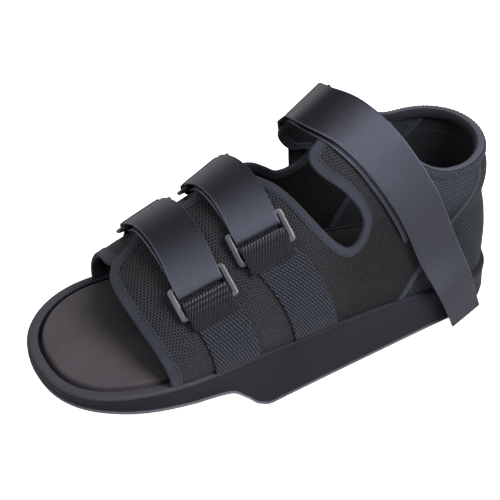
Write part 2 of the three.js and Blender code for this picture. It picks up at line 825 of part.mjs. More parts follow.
function roundedBox(path, x, y, r) {
  path.moveTo(-x + r, -y);
  path.lineTo(x - r, -y);
  path.absarc(x - r, -y + r, r, -Math.PI / 2, 0);
  path.lineTo(x, y - r);
  path.absarc(x - r, y - r, r, 0, Math.PI / 2);
  path.lineTo(-x + r, y);
  path.absarc(-x + r, y - r, r, Math.PI / 2, Math.PI);
  path.lineTo(-x, -y + r);
  path.absarc(-x + r, -y + r, r, Math.PI, 1.5 * Math.PI);
  return path;
}

// Half turn of a band round a bar, from under it to over it on the side that away points to.
function turnRound(bar, away, n, b) {
  return Array.from({ length: TURN_STEPS + 1 }, (_, k) => {
    const angle = (Math.PI * k) / TURN_STEPS;
    const c = bar.clone()
      .addScaledVector(n, -LOOP_RADIUS * Math.cos(angle))
      .addScaledVector(away, LOOP_RADIUS * Math.sin(angle));
    return { c, b };
  });
}

// Doubled strap wound round the upper bars of its two rings.
function doubledStrapGeometry(near, far) {
  const under = (frame) => frame.high.clone().addScaledVector(frame.n, -LOOP_RADIUS);
  const over = (frame) => frame.high.clone().addScaledVector(frame.n, LOOP_RADIUS);
  const run = (from, to, lift) => Array.from({ length: STRAP_STEPS - 1 }, (_, k) => {
    const t = (k + 1) / STRAP_STEPS;
    const bow = 4 * t * (1 - t);
    const c = from.clone().lerp(to, t).addScaledVector(UP, bow * lift);
    return { c, b: near.a.clone().lerp(far.a, t).normalize() };
  });
  const lower = run(under(near), under(far), STRAP_CROWN);
  const upper = run(over(near), over(far), STRAP_CROWN - LOOP_RADIUS).reverse();
  return ribbon([
    ...lower,
    ...turnRound(far.high, far.g.clone().negate(), far.n, far.a),
    ...upper,
    ...turnRound(near.high, near.g.clone().negate(), near.n, near.a).reverse(),
  ], STRAP_WIDTH, STRAP_THICK, true);
}

// Webbing from the sole up over the lower bar of a ring and back under it.
function webGeometry(place, frame, width) {
  const foot = place.rise > 1 ? 2 : 0;
  const rest = CLOTH + TAPE_PROUD + 3 * CLEAR + WEB_THICK / 2;
  const barRise = riseOf(settle(frame.low));
  const onPanel = (t) => lifted(onLast(lerp(place.base, frame.low.x, t), lerp(foot, barRise, t)), rest);
  const over = frame.low.clone().addScaledVector(frame.n, LOOP_RADIUS);
  const before = frame.low.clone()
    .addScaledVector(frame.g, -WEB_RETURN - BAR)
    .addScaledVector(frame.n, WEB_THICK + 2 * CLEAR - LOOP_RADIUS);
  const curve = new THREE.CatmullRomCurve3([
    onPanel(0.01), onPanel(0.1), onPanel(0.2), onPanel(0.35), before, over]);
  const footAlong = alongShoe(place.base, foot);
  const outer = curve.getSpacedPoints(WEB_STEPS).slice(0, -1).map((c, k) => ({
    c,
    b: footAlong.clone().lerp(frame.a, smoothstep(k, 3, WEB_STEPS - 2)).normalize(),
    wide: lerp(place.spread, width, smoothstep(k, 0, WEB_STEPS - 2)),
  }));
  const back = [1, 2, 3].map((k) => {
    const c = frame.low.clone()
      .addScaledVector(frame.n, -LOOP_RADIUS)
      .addScaledVector(frame.g, (-WEB_RETURN * k) / 3);
    return { c, b: frame.a };
  });
  return ribbon([
    ...outer,
    ...turnRound(frame.low, frame.g, frame.n, frame.a).reverse(),
    ...back,
  ], width, WEB_THICK);
}

// Ankle strap: an under run sewn to the near quarter, round the far ring, and back over to the floor.
function ankleStrapGeometry(frame) {
  const run = ANKLE_RUN.map(({ x, rise, off }) => ({ spot: onLast(x, rise), off }));
  const over = [
    ...run.map(({ spot, off }) => lifted(spot, off)),
    ...ANKLE_END.map(({ x, y, z }) => new Vector3(x, y, z)),
  ];
  const start = frame.high.clone().addScaledVector(frame.n, LOOP_RADIUS);
  const curve = new THREE.CatmullRomCurve3([start, ...over], false, 'centripetal');
  const centres = curve.getSpacedPoints(ANKLE_STEPS);
  const widthAt = (points, i) => {
    const p = points[i];
    const t = points[Math.min(points.length - 1, i + 1)].clone().sub(points[Math.max(0, i - 1)]);
    return t.cross(outward(p)).negate().normalize();
  };
  const onFloor = new Vector3(1, 0, 0).applyAxisAngle(UP, degToRad(ANKLE_END_TURN));
  const upper = centres.map((c, i) => {
    const b = frame.a.clone().lerp(widthAt(centres, i), smoothstep(i, 1, 7));
    return { c, b: b.lerp(onFloor, smoothstep(i, ANKLE_UNDER_STEPS, ANKLE_STEPS)).normalize() };
  });
  const lower = upper.slice(1, ANKLE_UNDER_STEPS + 1).map(({ c, b }, i) => {
    const drop = lerp(2 * LOOP_RADIUS, ANKLE_UNDER_DROP, smoothstep(i, 0, 4));
    const lift = frame.n.clone().lerp(outward(c), smoothstep(i, 0, 4)).normalize();
    const under = c.clone().addScaledVector(lift, -drop);
    return { c: under.addScaledVector(b, -ANKLE_UNDER_SHIFT * smoothstep(i, 1, 6)), b };
  });
  return ribbon([
    ...lower.reverse(),
    ...turnRound(frame.high, frame.g.clone().negate(), frame.n, frame.a),
    ...upper.slice(1),
  ], ANKLE_STRAP_WIDTH, STRAP_THICK);
}

const shoe = new THREE.Group();

function addPiece(name, geometry, color, roughness = 0.9) {
  const material = new THREE.MeshStandardMaterial({ color, roughness, metalness: 0 });
  const mesh = new THREE.Mesh(geometry, material);
  mesh.name = name;
  shoe.add(mesh);
  return mesh;
}

function addRing(name, frame, bandWidth, color) {
  const mesh = addPiece(name, ringGeometry(bandWidth), color, 0.45);
  const across = frame.a.clone().cross(frame.g);
  mesh.quaternion.setFromRotationMatrix(new THREE.Matrix4().makeBasis(frame.a, frame.g, across));
  mesh.position.copy(frame.centre);
}

addPiece('sole', soleGeometry(), MIDNIGHT, 0.7);
addPiece('outsole', outsoleGeometry(), TREAD_GREY, 0.8);
addPiece('insole', insoleGeometry(), FOOTBED_BROWN);
addPiece('near_panel', panelGeometry(NEAR), MESH_BLACK);
addPiece('far_panel', panelGeometry(FAR), MESH_BLACK);
addPiece('near_binding', bindingGeometry(NEAR), SLATE, 0.8);
addPiece('far_binding', bindingGeometry(FAR), SLATE, 0.8);
addPiece('heel_counter', counterGeometry(), MESH_BLACK);
addPiece('near_seam_tape', seamTapeGeometry(false), SLATE, 0.8);
addPiece('far_seam_tape', seamTapeGeometry(true), SLATE, 0.8);
addPiece('collar', collarGeometry(), SLATE);

for (const { name, near, far } of FOREFOOT_STRAPS) {
  const nearFrame = ringFrame(near);
  const farFrame = ringFrame(far);
  addPiece(`${name}_strap`, doubledStrapGeometry(nearFrame, farFrame), SLATE, 0.75);
  addRing(`${name}_ring_near`, nearFrame, STRAP_WIDTH, RING_GREY);
  addRing(`${name}_ring_far`, farFrame, STRAP_WIDTH, RING_GREY);
  addPiece(`${name}_web_near`, webGeometry(near, nearFrame, STRAP_WIDTH), MESH_BLACK);
  addPiece(`${name}_web_far`, webGeometry(far, farFrame, STRAP_WIDTH), MESH_BLACK);
}

const ankleFrame = ringFrame(ANKLE_RING);
addPiece('ankle_strap', ankleStrapGeometry(ankleFrame), SLATE, 0.75);
addRing('ankle_ring', ankleFrame, ANKLE_STRAP_WIDTH, RING_BLACK);
addPiece('ankle_web', webGeometry(ANKLE_RING, ankleFrame, ANKLE_STRAP_WIDTH - 2), MESH_BLACK);

export default shoe;
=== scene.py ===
# %% [markdown]
# # A postoperative shoe for the forefoot
# The real shoe is a foam wedge that keeps the toes off the floor, with an upper of spacer mesh, folded
# tape round its edges, a padded collar and three straps that turn back through plastic loops. The packed
# solids give every size and place. This lesson dresses them: each piece is built again as a finer mesh on
# the same foot form, takes the place of its solid, and gets a finish made of nodes.

# %% Load the frame
import math

import bpy
import numpy as np
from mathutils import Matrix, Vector


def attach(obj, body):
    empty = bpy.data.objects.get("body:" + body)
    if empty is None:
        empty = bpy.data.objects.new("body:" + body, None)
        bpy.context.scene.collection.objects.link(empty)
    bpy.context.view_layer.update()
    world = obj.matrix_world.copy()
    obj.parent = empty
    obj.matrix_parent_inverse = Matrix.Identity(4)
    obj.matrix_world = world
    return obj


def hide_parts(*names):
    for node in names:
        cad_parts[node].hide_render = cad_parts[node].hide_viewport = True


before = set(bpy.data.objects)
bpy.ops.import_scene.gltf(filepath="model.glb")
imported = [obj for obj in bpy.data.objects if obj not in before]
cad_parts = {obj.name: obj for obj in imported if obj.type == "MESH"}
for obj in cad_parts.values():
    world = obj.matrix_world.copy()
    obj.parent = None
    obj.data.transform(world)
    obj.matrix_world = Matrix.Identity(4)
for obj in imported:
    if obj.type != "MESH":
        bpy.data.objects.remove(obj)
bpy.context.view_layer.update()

MM = 0.001

# %% [markdown]
# ## Camera
# The photograph looks down on the near side from the toe end, from far enough away that the far edges
# hardly shrink. The camera could be moved by hand until it fits. Here its place is worked out from two
# angles, a distance and a target, so that the numbers say what the view is.

# %% Camera at the photograph's angle
AZIMUTH = math.radians(-29.18)
ELEVATION = math.radians(40)
DISTANCE = 835.9 * MM
TARGET = Vector((-13.4, 0, 73.04)) * MM
LENS, SENSOR = 108, 36


def direction(azimuth, elevation):
    """Unit vector from the object towards a viewer."""
    flat = math.cos(elevation)
    return Vector((math.sin(azimuth) * flat, -math.cos(azimuth) * flat, math.sin(elevation)))


camera = bpy.data.objects.new("camera", bpy.data.cameras.new("camera"))
bpy.context.scene.collection.objects.link(camera)
back = direction(AZIMUTH, ELEVATION)
camera.location = TARGET + back * DISTANCE
camera.rotation_euler = (-back).to_track_quat("-Z", "Y").to_euler()
camera.data.lens = LENS
camera.data.sensor_width = SENSOR
bpy.context.scene.camera = camera
print("camera at", [round(v, 3) for v in camera.location])

# %% [markdown]
# ## Soft lamps
# The soft shadows in the photograph look like those of large lamps. A big one on the near side makes the
# lower, steeper part of each strap lighter than its top, a second one fills the toe, and a low one behind
# keeps the far side readable. Area lamps are used because their size sets how soft a shadow is. Spot
# lamps would cut hard edges.

# %% Three area lamps
LAMPS = [
    {"name": "key", "azimuth": 22, "elevation": 50, "away": 1.3, "size": 0.65, "power": 22},
    {"name": "fill", "azimuth": -70, "elevation": 55, "away": 1.4, "size": 1.0, "power": 6},
    {"name": "rim", "azimuth": 168, "elevation": 7, "away": 1.4, "size": 1.0, "power": 9},
]
for lamp in LAMPS:
    data = bpy.data.lights.new(lamp["name"], "AREA")
    data.size = lamp["size"]
    data.energy = lamp["power"]
    source = bpy.data.objects.new(lamp["name"], data)
    towards = direction(math.radians(lamp["azimuth"]), math.radians(lamp["elevation"]))
    source.location = TARGET + towards * lamp["away"]
    source.rotation_euler = (-towards).to_track_quat("-Z", "Y").to_euler()
    bpy.context.scene.collection.objects.link(source)
print("lamps:", [lamp["name"] for lamp in LAMPS])

# %% [markdown]
# ## Floor and surround
# The shoe stands on plain white paper that has no visible edge. A pale plane alone would turn grey with
# distance, so the paper also glows where the camera sees it directly. What it reflects on to the shoe
# stays that of plain paper. A weak white surround lifts the deepest shadows.

# %% White paper and a weak surround
SURROUND = 0.1
world = bpy.data.worlds.new("studio")
bpy.context.scene.world = world
world.use_nodes = True
backdrop = world.node_tree.nodes["Background"]
backdrop.inputs["Color"].default_value = (1, 1, 1, 1)
backdrop.inputs["Strength"].default_value = SURROUND
bpy.context.scene.view_settings.view_transform = "Standard"

FLOOR_HALF = 6
floor_mesh = bpy.data.meshes.new("floor")
floor_mesh.from_pydata(
    [(-FLOOR_HALF, -FLOOR_HALF, 0), (FLOOR_HALF, -FLOOR_HALF, 0),
     (FLOOR_HALF, FLOOR_HALF, 0), (-FLOOR_HALF, FLOOR_HALF, 0)], [], [(0, 1, 2, 3)])
floor = bpy.data.objects.new("floor", floor_mesh)
bpy.context.scene.collection.objects.link(floor)
paper = bpy.data.materials.new("paper")
paper.use_nodes = True
paper_shader = paper.node_tree.nodes["Principled BSDF"]
paper_shader.inputs["Base Color"].default_value = (0.93, 0.93, 0.94, 1)
paper_shader.inputs["Roughness"].default_value = 0.9
paper_shader.inputs["Emission Color"].default_value = (1, 1, 1, 1)
seen = paper.node_tree.nodes.new("ShaderNodeLightPath").outputs["Is Camera Ray"]
paper.node_tree.links.new(seen, paper_shader.inputs["Emission Strength"])
floor_mesh.materials.append(paper)
print("floor:", 2 * FLOOR_HALF, "m wide")

# %% [markdown]
# ## Smooth tables and small helpers
# A shoe has no simple formula, so a few heights and widths, estimated from the photograph in millimetres,
# are joined by smooth curves that never overshoot their rows. Everything below works on whole arrays of
# points at once, which is quicker than looping over them.

# %% Smooth tables


def track(rows):
    """Smooth monotone curve through (place, value) rows."""
    xs, ys = np.array(rows, float).T
    slopes = np.diff(ys) / np.diff(xs)
    before, after = slopes[:-1], slopes[1:]
    total = np.where(before * after > 0, before + after, 1)
    inner = np.where(before * after > 0, 2 * before * after / total, 0)
    tangents = np.concatenate([slopes[:1], inner, slopes[-1:]])

    def curve(value):
        x = np.clip(value, xs[0], xs[-1])
        i = np.clip(np.searchsorted(xs, x) - 1, 0, len(xs) - 2)
        span = xs[i + 1] - xs[i]
        t = (x - xs[i]) / span
        start = (1 + 2 * t) * (1 - t) ** 2 * ys[i] + t * (1 - t) ** 2 * span * tangents[i]
        return start + t * t * (3 - 2 * t) * ys[i + 1] + t * t * (t - 1) * span * tangents[i + 1]

    return curve


print("a table through 0, 4 and 5 gives", round(float(track([(0, 0), (1, 4), (2, 5)])(0.5)), 2), "at a half")

# %% Sums on arrays of points


def lerp(a, b, t):
    return a + (b - a) * t


def smoothstep(value, low, high):
    t = np.clip((value - low) / (high - low), 0, 1)
    return t * t * (3 - 2 * t)


def unit(v):
    return v / np.maximum(np.linalg.norm(v, axis=-1, keepdims=True), 1e-12)


def xyz(x, y, z):
    return np.stack(np.broadcast_arrays(x, y, z), axis=-1).astype(float)


def mirrored(p):
    return p * np.array([1, -1, 1])


print("half way from 2 to 6:", lerp(2, 6, 0.5))

# %% Lines of points


def lengths_along(points):
    """Distance of each point of a line from its start."""
    steps = np.linalg.norm(np.diff(points, axis=0), axis=1)
    return np.concatenate([[0], np.cumsum(steps)])


def evenly(points, count):
    """A line's points again, at even steps along it."""
    run = lengths_along(points)
    want = np.linspace(0, run[-1], count + 1)
    return np.stack([np.interp(want, run, points[:, k]) for k in range(points.shape[1])], axis=-1)


def smooth_path(points, steps):
    """Curve through points that doesn't loop where they lie close together."""
    p = np.array(points, float)
    p = np.vstack([2 * p[0] - p[1], p, 2 * p[-1] - p[-2]])
    gaps = np.sqrt(np.maximum(np.linalg.norm(np.diff(p, axis=0), axis=1), 1e-6))
    t = np.linspace(0, 1, steps, endpoint=False)[:, None]
    out = []
    for k in range(1, len(p) - 2):
        a, b, c, d = p[k - 1:k + 3]
        g0, g1, g2 = gaps[k - 1:k + 2]
        leave = ((b - a) / g0 - (c - a) / (g0 + g1) + (c - b) / g1) * g1
        reach = ((c - b) / g1 - (d - b) / (g1 + g2) + (d - c) / g2) * g1
        out.append(b + leave * t + (3 * (c - b) - 2 * leave - reach) * t ** 2
                   + (2 * (b - c) + leave + reach) * t ** 3)
    return np.vstack(out + [p[-2:-1]])


bent = smooth_path([(0, 0), (10, 0), (10, 10)], 8)
print("a bent line of 20 mm is", round(float(lengths_along(bent)[-1]), 1), "mm when smoothed")

# %% [markdown]
# ## The sole's outline and the foot form
# The upper of a shoe is pulled over a last, a form of the foot. Here the last is a formula: its
# half-breadth at a place along the shoe and a height above the floor. Any point on it also has a chart
# place: x along the shoe, and rise, which is 0 at the near edge of the sole, 1 on the ridge and 2 at the
# far edge.

# %% Tables of the sole and the last
TOE_X, BALL_X, SEAT_X, HEEL_X = -145, -75, 100, 145
BALL_HALF = 53.2
TOE_POWER, TOE_ROOT, HEEL_POWER = 2.48, 2.32, 2.2
EDGE_INSET, SIDE_SWELL, SWELL_SHARE = 4.4, 3, 0.35
ARCH_POWER, HEEL_START = 2.3, 98
ANKLE_LEAN, LEAN_FROM, LEAN_OVER, LEAN_HIGH, LEAN_MOST = 0.1, 20, 60, 80, 1.5
CLOTH = 2

sole_side = track([(BALL_X, BALL_HALF), (-15, 47.3), (40, 42.8), (SEAT_X, 38.2)])
underside = track([(TOE_X, 37), (-125, 36.2), (-110, 34.4), (-80, 30), (-62, 26.4), (-52, 23.2),
                   (-42, 13.6), (-34, 4.5), (-25, 0), (HEEL_X, 0)])
feather = track([(TOE_X, 46.5), (-110, 48), (-50, 43.2), (-15, 40.3), (40, 36.3), (SEAT_X, 27.5),
                 (HEEL_X, 20.5)])
ridge = track([(-112, 67), (-95, 75.5), (-85, 81.5), (-70, 91), (-48, 104.5), (-30, 114), (-10, 127),
               (18, 144), (42, 153), (52, 158), (80, 180), (110, 215), (150, 270)])
heel_back = track([(18, 140.5), (45, 140), (60, 138), (80, 133.5), (95, 132.5), (112, 131)])


def sole_half(x):
    """Half-width of the sole seen from above."""
    toe = np.clip((BALL_X - x) / (BALL_X - TOE_X), 0, 1)
    heel = np.clip((x - SEAT_X) / (HEEL_X - SEAT_X), 0, 1)
    front = BALL_HALF * (1 - toe ** TOE_POWER) ** (1 / TOE_ROOT)
    return np.where(x < BALL_X, front, sole_side(x) * np.sqrt(1 - heel ** HEEL_POWER))


print("sole:", HEEL_X - TOE_X, "mm long,", 2 * BALL_HALF, "mm wide at the ball")

# %% Points on the last
SLOPE_STEP = 0.05
SETTLE_ROUNDS = 5


def breadth_squared(x, z):
    """Square of the last's half-breadth; it goes below 0 past the ridge and the heel."""
    height = np.maximum(0, z - feather(x))
    share = height / (ridge(x) - feather(x))
    back = np.clip((x - LEAN_FROM) / LEAN_OVER, 0, 1)
    lean = 1 - ANKLE_LEAN * back * np.clip(height / LEAN_HIGH, 0, LEAN_MOST)
    swell = SIDE_SWELL * (1 - (1 - np.minimum(share / SWELL_SHARE, 1)) ** 2)
    side = np.where(x < BALL_X, sole_half(x), sole_side(x)) - EDGE_INSET + swell
    behind = np.maximum(0, (x - HEEL_START) / (heel_back(z) - HEEL_START))
    return (side * lean) ** 2 * (1 - share ** ARCH_POWER) * (1 - behind ** HEEL_POWER)


def gradient(p):
    """Way in which the last's formula grows fastest."""
    x, y, z = p[..., 0], p[..., 1], p[..., 2]
    d = SLOPE_STEP
    across = (breadth_squared(x - d, z) - breadth_squared(x + d, z)) / (2 * d)
    up = (breadth_squared(x, z - d) - breadth_squared(x, z + d)) / (2 * d)
    return xyz(across, 2 * y, up)


def outward(p):
    """Normal of the last."""
    return unit(gradient(p))


def at_height(x, z):
    """Points on the near side of the last."""
    return xyz(x, -np.sqrt(np.maximum(0, breadth_squared(x, z))), z)


print("half-breadth over the ball:", round(float(breadth_squared(-75.0, 60.0)) ** 0.5, 1), "mm")

# %% The last's chart


def on_last(x, rise):
    """Point at a chart place."""
    x, rise = np.broadcast_arrays(np.asarray(x, float), np.asarray(rise, float))
    climb = np.where(rise > 1, 2 - rise, rise)
    share = np.sin(np.clip(climb, 0, 1) * math.pi / 2) ** (2 / ARCH_POWER)
    p = at_height(x, feather(x) + (ridge(x) - feather(x)) * share)
    return np.where((rise > 1)[..., None], mirrored(p), p)


def rise_of(p):
    """Chart rise of a point on the last."""
    x, z = p[..., 0], p[..., 2]
    share = np.clip((z - feather(x)) / (ridge(x) - feather(x)), 0, 1)
    climb = (2 / math.pi) * np.arcsin(np.minimum(1, share ** (ARCH_POWER / 2)))
    return np.where(p[..., 1] > 0, 2 - climb, climb)


def settle(p):
    """Brings points near the last onto it."""
    p = np.array(p, float)
    for _ in range(SETTLE_ROUNDS):
        g = gradient(p)
        miss = p[..., 1] ** 2 - breadth_squared(p[..., 0], p[..., 2])
        p = p - g * (miss / np.maximum((g * g).sum(-1), 1e-9))[..., None]
    p[..., 2] = np.maximum(p[..., 2], feather(p[..., 0]))
    return p


print("last: ridge", round(float(ridge(0.0)), 1), "mm over the instep")

# %% [markdown]
# ## From grids of points to pieces
# Cloth is a skin with thickness: an outer grid, an inner grid and a strip that closes every free edge.
# Solidify would do that too, but here each piece also needs its own offset from the last, so the two
# grids are worked out directly. Grids that share a border are welded by place. The weave of a cloth
# follows its threads, so each point keeps its place on the flat cut, in millimetres, in a UV map.

# %% A mesh object from points and faces
THREADS = "threads"
SHARP_ANGLE = 58


def new_piece(name, points, faces, threads=None, back_faces=()):
    """Mesh object from points in millimetres; back_faces are the faces of the second finish."""
    mesh = bpy.data.meshes.new(name)
    mesh.from_pydata((np.asarray(points) * MM).tolist(), [], [list(map(int, f)) for f in faces])
    if threads is not None:
        corners = np.zeros(len(mesh.loops), int)
        mesh.loops.foreach_get("vertex_index", corners)
        layer = mesh.uv_layers.new(name=THREADS)
        layer.data.foreach_set("uv", np.asarray(threads, np.float32)[corners].ravel())
    if len(back_faces):
        side = np.zeros(len(faces), np.int32)
        side[back_faces] = 1
        mesh.polygons.foreach_set("material_index", side)
    mesh.shade_smooth()
    mesh.set_sharp_from_angle(angle=math.radians(SHARP_ANGLE))
    mesh.update()
    obj = bpy.data.objects.new(name, mesh)
    bpy.context.scene.collection.objects.link(obj)
    return obj


def signed_volume(points, faces):
    """Six times the volume inside the faces; below 0 where they are turned inside out."""
    total = 0
    for face in faces:
        a, b, c = points[face[0]], points[face[1]], points[face[2]]
        total += np.dot(a, np.cross(b, c))
        if len(face) == 4:
            total += np.dot(a, np.cross(c, points[face[3]]))
    return total


def facing_out(points, faces):
    """The faces, turned over if they look inwards."""
    return [f[::-1] for f in faces] if signed_volume(points, faces) < 0 else faces


print("points keep their place on the cut in the UV map", THREADS)

# %% Cloth with two faces and a closed rim


def closed_sheet(name, patches):
    """Cloth from (outer grid, inner grid, thread grid) patches, welded where their borders meet."""
    known, outer, inner, threads, quads = {}, [], [], [], []
    for top, bottom, flat in patches:
        index = np.zeros(top.shape[:2], int)
        for r in range(top.shape[0]):
            for c in range(top.shape[1]):
                key = tuple(np.round(top[r, c], 2))
                if key not in known:
                    known[key] = len(outer)
                    outer.append(top[r, c])
                    inner.append(bottom[r, c])
                    threads.append(flat[r, c])
                index[r, c] = known[key]
        corners = [index[:-1, :-1], index[:-1, 1:], index[1:, 1:], index[1:, :-1]]
        quads.append(np.stack(corners, axis=-1).reshape(-1, 4))
    quads = np.vstack(quads)
    quads = quads[[len(set(q)) == 4 for q in quads.tolist()]]
    shift = len(outer)
    used = {(q[k], q[(k + 1) % 4]) for q in quads.tolist() for k in range(4)}
    rim = [[b, a, a + shift, b + shift] for a, b in used if (b, a) not in used]
    faces = quads.tolist() + (quads + shift)[:, ::-1].tolist() + sorted(rim)
    points = np.array(outer + inner)
    inside = np.arange(len(quads), 2 * len(quads))
    return new_piece(name, points, facing_out(points, faces), np.array(threads + threads), inside)


def skin(p, n, low, high, threads):
    """Patch for closed_sheet from points on the last, their normals and two offsets."""
    low, high = np.broadcast_to(low, p.shape[:2]), np.broadcast_to(high, p.shape[:2])
    return p + n * high[..., None], p + n * low[..., None], threads


def flat_area(obj):
    """Half the surface of a closed sheet: the area of its cut, in square metres."""
    return sum(f.area for f in obj.data.polygons) / 2


print("cloth is", CLOTH, "mm thick")

# %% Putting a piece in its place


def dress(obj, node, slot, *materials):
    """The piece takes its solid's place, rides on the shoe and gets its finish."""
    for material in materials:
        obj.data.materials.append(material)
    if len(materials) == 1:
        obj.data.polygons.foreach_set("material_index", np.zeros(len(obj.data.polygons), np.int32))
    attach(obj, "root")
    if node:
        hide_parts(node)
    print(obj.name, len(obj.data.polygons), "faces")
    return obj


# %% [markdown]
# ## Shared effects as node groups
# Several finishes need the same effects: fibres that break up a flat colour, a woven twill, rows of holes
# in a knitted mesh, painted light and shade by what faces up, and changes of tone along the shoe, most of
# them painted shade. Each could be drawn again in every material, but one group with named sockets, built
# once, keeps them alike. A group only gives out masks and heights. The shader itself stays in each
# material.

# %% Node helpers


def link(tree, node, values):
    """Sets a node's inputs: a socket is linked, a plain value is set."""
    for key, value in values.items():
        if isinstance(value, bpy.types.NodeSocket):
            tree.links.new(value, node.inputs[key])
        else:
            node.inputs[key].default_value = value
    return node


def add(tree, kind, values=None, **settings):
    """New shader node with its settings and inputs."""
    node = tree.nodes.new("ShaderNode" + kind)
    for key, value in settings.items():
        setattr(node, key, value)
    return link(tree, node, values or {})


def calc(tree, operation, *values):
    """One sum on values; returns its result socket."""
    return add(tree, "Math", dict(enumerate(values)), operation=operation).outputs[0]


def ramp(tree, value, low, high, start=0.0, end=1.0):
    """Value remapped smoothly from low..high to start..end."""
    values = {"Value": value, "From Min": low, "From Max": high, "To Min": start, "To Max": end}
    return add(tree, "MapRange", values, interpolation_type="SMOOTHSTEP").outputs["Result"]


def group(name, inputs, outputs):
    """Empty node group with the given sockets; returns its tree, its input node and its output node."""
    tree = bpy.data.node_groups.new(name, "ShaderNodeTree")
    for label, kind in inputs:
        tree.interface.new_socket(label, in_out="INPUT", socket_type="NodeSocket" + kind)
    for label in outputs:
        tree.interface.new_socket(label, in_out="OUTPUT", socket_type="NodeSocketFloat")
    return tree, tree.nodes.new("NodeGroupInput"), tree.nodes.new("NodeGroupOutput")


def use(tree, effect, values):
    """Places an effect's group in a material."""
    node = tree.nodes.new("ShaderNodeGroup")
    node.node_tree = effect
    return link(tree, node, values)


print("node helpers: link, add, calc, ramp, group and use")

# %% [markdown]
# ## Fibres
# No cloth or foam has one even colour: short fibres and pores speckle it, and larger patches are a little
# lighter or darker. Two noises at very different scales give both, which one noise with more detail
# doesn't.

# %% Fine fuzz and slow changes of tone
fibres, given, result = group(
    "fibres", [("Place", "Vector"), ("Fineness", "Float"), ("Patch", "Float")], ["Fuzz", "Tone"])
fuzz = add(fibres, "TexNoise", {"Vector": given.outputs["Place"], "Scale": given.outputs["Fineness"],
                                "Detail": 4.0, "Roughness": 0.7})
tone = add(fibres, "TexNoise", {"Vector": given.outputs["Place"], "Scale": given.outputs["Patch"],
                                "Detail": 2.0, "Roughness": 0.5})
link(fibres, result, {"Fuzz": ramp(fibres, fuzz.outputs["Fac"], 0.3, 0.7),
                      "Tone": ramp(fibres, tone.outputs["Fac"], 0.3, 0.7)})
print("group", fibres.name, "with", len(fibres.nodes), "nodes")

# %% [markdown]
# ## Twill
# The straps are woven in a close twill: fine ribs at a slant, crossed by single picks of yarn. A wave
# texture could draw them, but two sines on the threads' own millimetres keep the count of ribs exact.

# %% Slanted ribs and cross picks
TWILL_SLANT = 0.35
twill, given, result = group(
    "twill", [("Place", "Vector"), ("Rib", "Float"), ("Pick", "Float")], ["Rib height", "Pick height"])
flat = add(twill, "SeparateXYZ", {0: given.outputs["Place"]})
slanted = calc(twill, "ADD", flat.outputs["Y"], calc(twill, "MULTIPLY", flat.outputs["X"], TWILL_SLANT))
for label, across, pitch in (("Rib height", slanted, "Rib"), ("Pick height", flat.outputs["X"], "Pick")):
    turn = calc(twill, "MULTIPLY", calc(twill, "DIVIDE", across, given.outputs[pitch]), 2 * math.pi)
    link(twill, result, {label: calc(twill, "MULTIPLY_ADD", calc(twill, "SINE", turn), 0.5, 0.5)})
print("group", twill.name, "with", len(twill.nodes), "nodes")

# %% [markdown]
# ## Holes
# Spacer mesh and webbing are knitted in rows, each row half a step aside from the last one, with a gap in
# every step. Real holes would take millions of faces, so the group works out how far a point is from the
# middle of its own gap. That distance gives the dark hole, the rounded yarn round it and the dot between.

# %% Staggered rows of openings
holes, given, result = group(
    "holes", [("Place", "Vector"), ("Wide", "Float"), ("High", "Float"), ("Slant", "Float")],
    ["Hole", "Round", "Dot"])
flat = add(holes, "SeparateXYZ", {0: given.outputs["Place"]})
row = calc(holes, "DIVIDE", flat.outputs["Y"], given.outputs["High"])
odd = calc(holes, "MULTIPLY", calc(holes, "FLOORED_MODULO", calc(holes, "FLOOR", row), 2.0), 0.5)
above = calc(holes, "SUBTRACT", calc(holes, "FRACT", row), 0.5)
leaning = calc(holes, "ADD", odd, calc(holes, "MULTIPLY", above, given.outputs["Slant"]))
column = calc(holes, "ADD", calc(holes, "DIVIDE", flat.outputs["X"], given.outputs["Wide"]), leaning)
aside = calc(holes, "SUBTRACT", calc(holes, "FRACT", column), 0.5)
far = calc(holes, "SQRT", calc(holes, "ADD", calc(holes, "MULTIPLY", aside, aside),
                               calc(holes, "MULTIPLY", calc(holes, "MULTIPLY", above, above), 0.4)))
between = ramp(holes, calc(holes, "ABSOLUTE", aside), 0.28, 0.42)
inside_row = ramp(holes, calc(holes, "ABSOLUTE", above), 0.2, 0.4, 1.0, 0.0)
link(holes, result, {"Hole": ramp(holes, far, 0.18, 0.34, 1.0, 0.0), "Round": ramp(holes, far, 0.15, 0.48),
                     "Dot": calc(holes, "MULTIPLY", between, inside_row)})
print("group", holes.name, "with", len(holes.nodes), "nodes")

# %% [markdown]
# ## Wear on what faces up
# Light from above makes what faces up look lighter or darker than the rest, and here that is painted into
# the colour: a highlight on the foam rim, shade on top of the straps and a highlight on the bend of the
# webbing's back. The surface normal tells how far a place faces up, in the shoe's own frame, so the
# painted light stays where it is from any side.

# %% Mask by the upward part of the normal
facing_up, given, result = group(
    "facing_up", [("Normal", "Vector"), ("Low", "Float"), ("High", "Float")], ["Mask"])
upward = add(facing_up, "SeparateXYZ", {0: given.outputs["Normal"]}).outputs["Z"]
link(facing_up, result, {"Mask": ramp(facing_up, upward, given.outputs["Low"], given.outputs["High"])})
print("group", facing_up.name, "with", len(facing_up.nodes), "nodes")
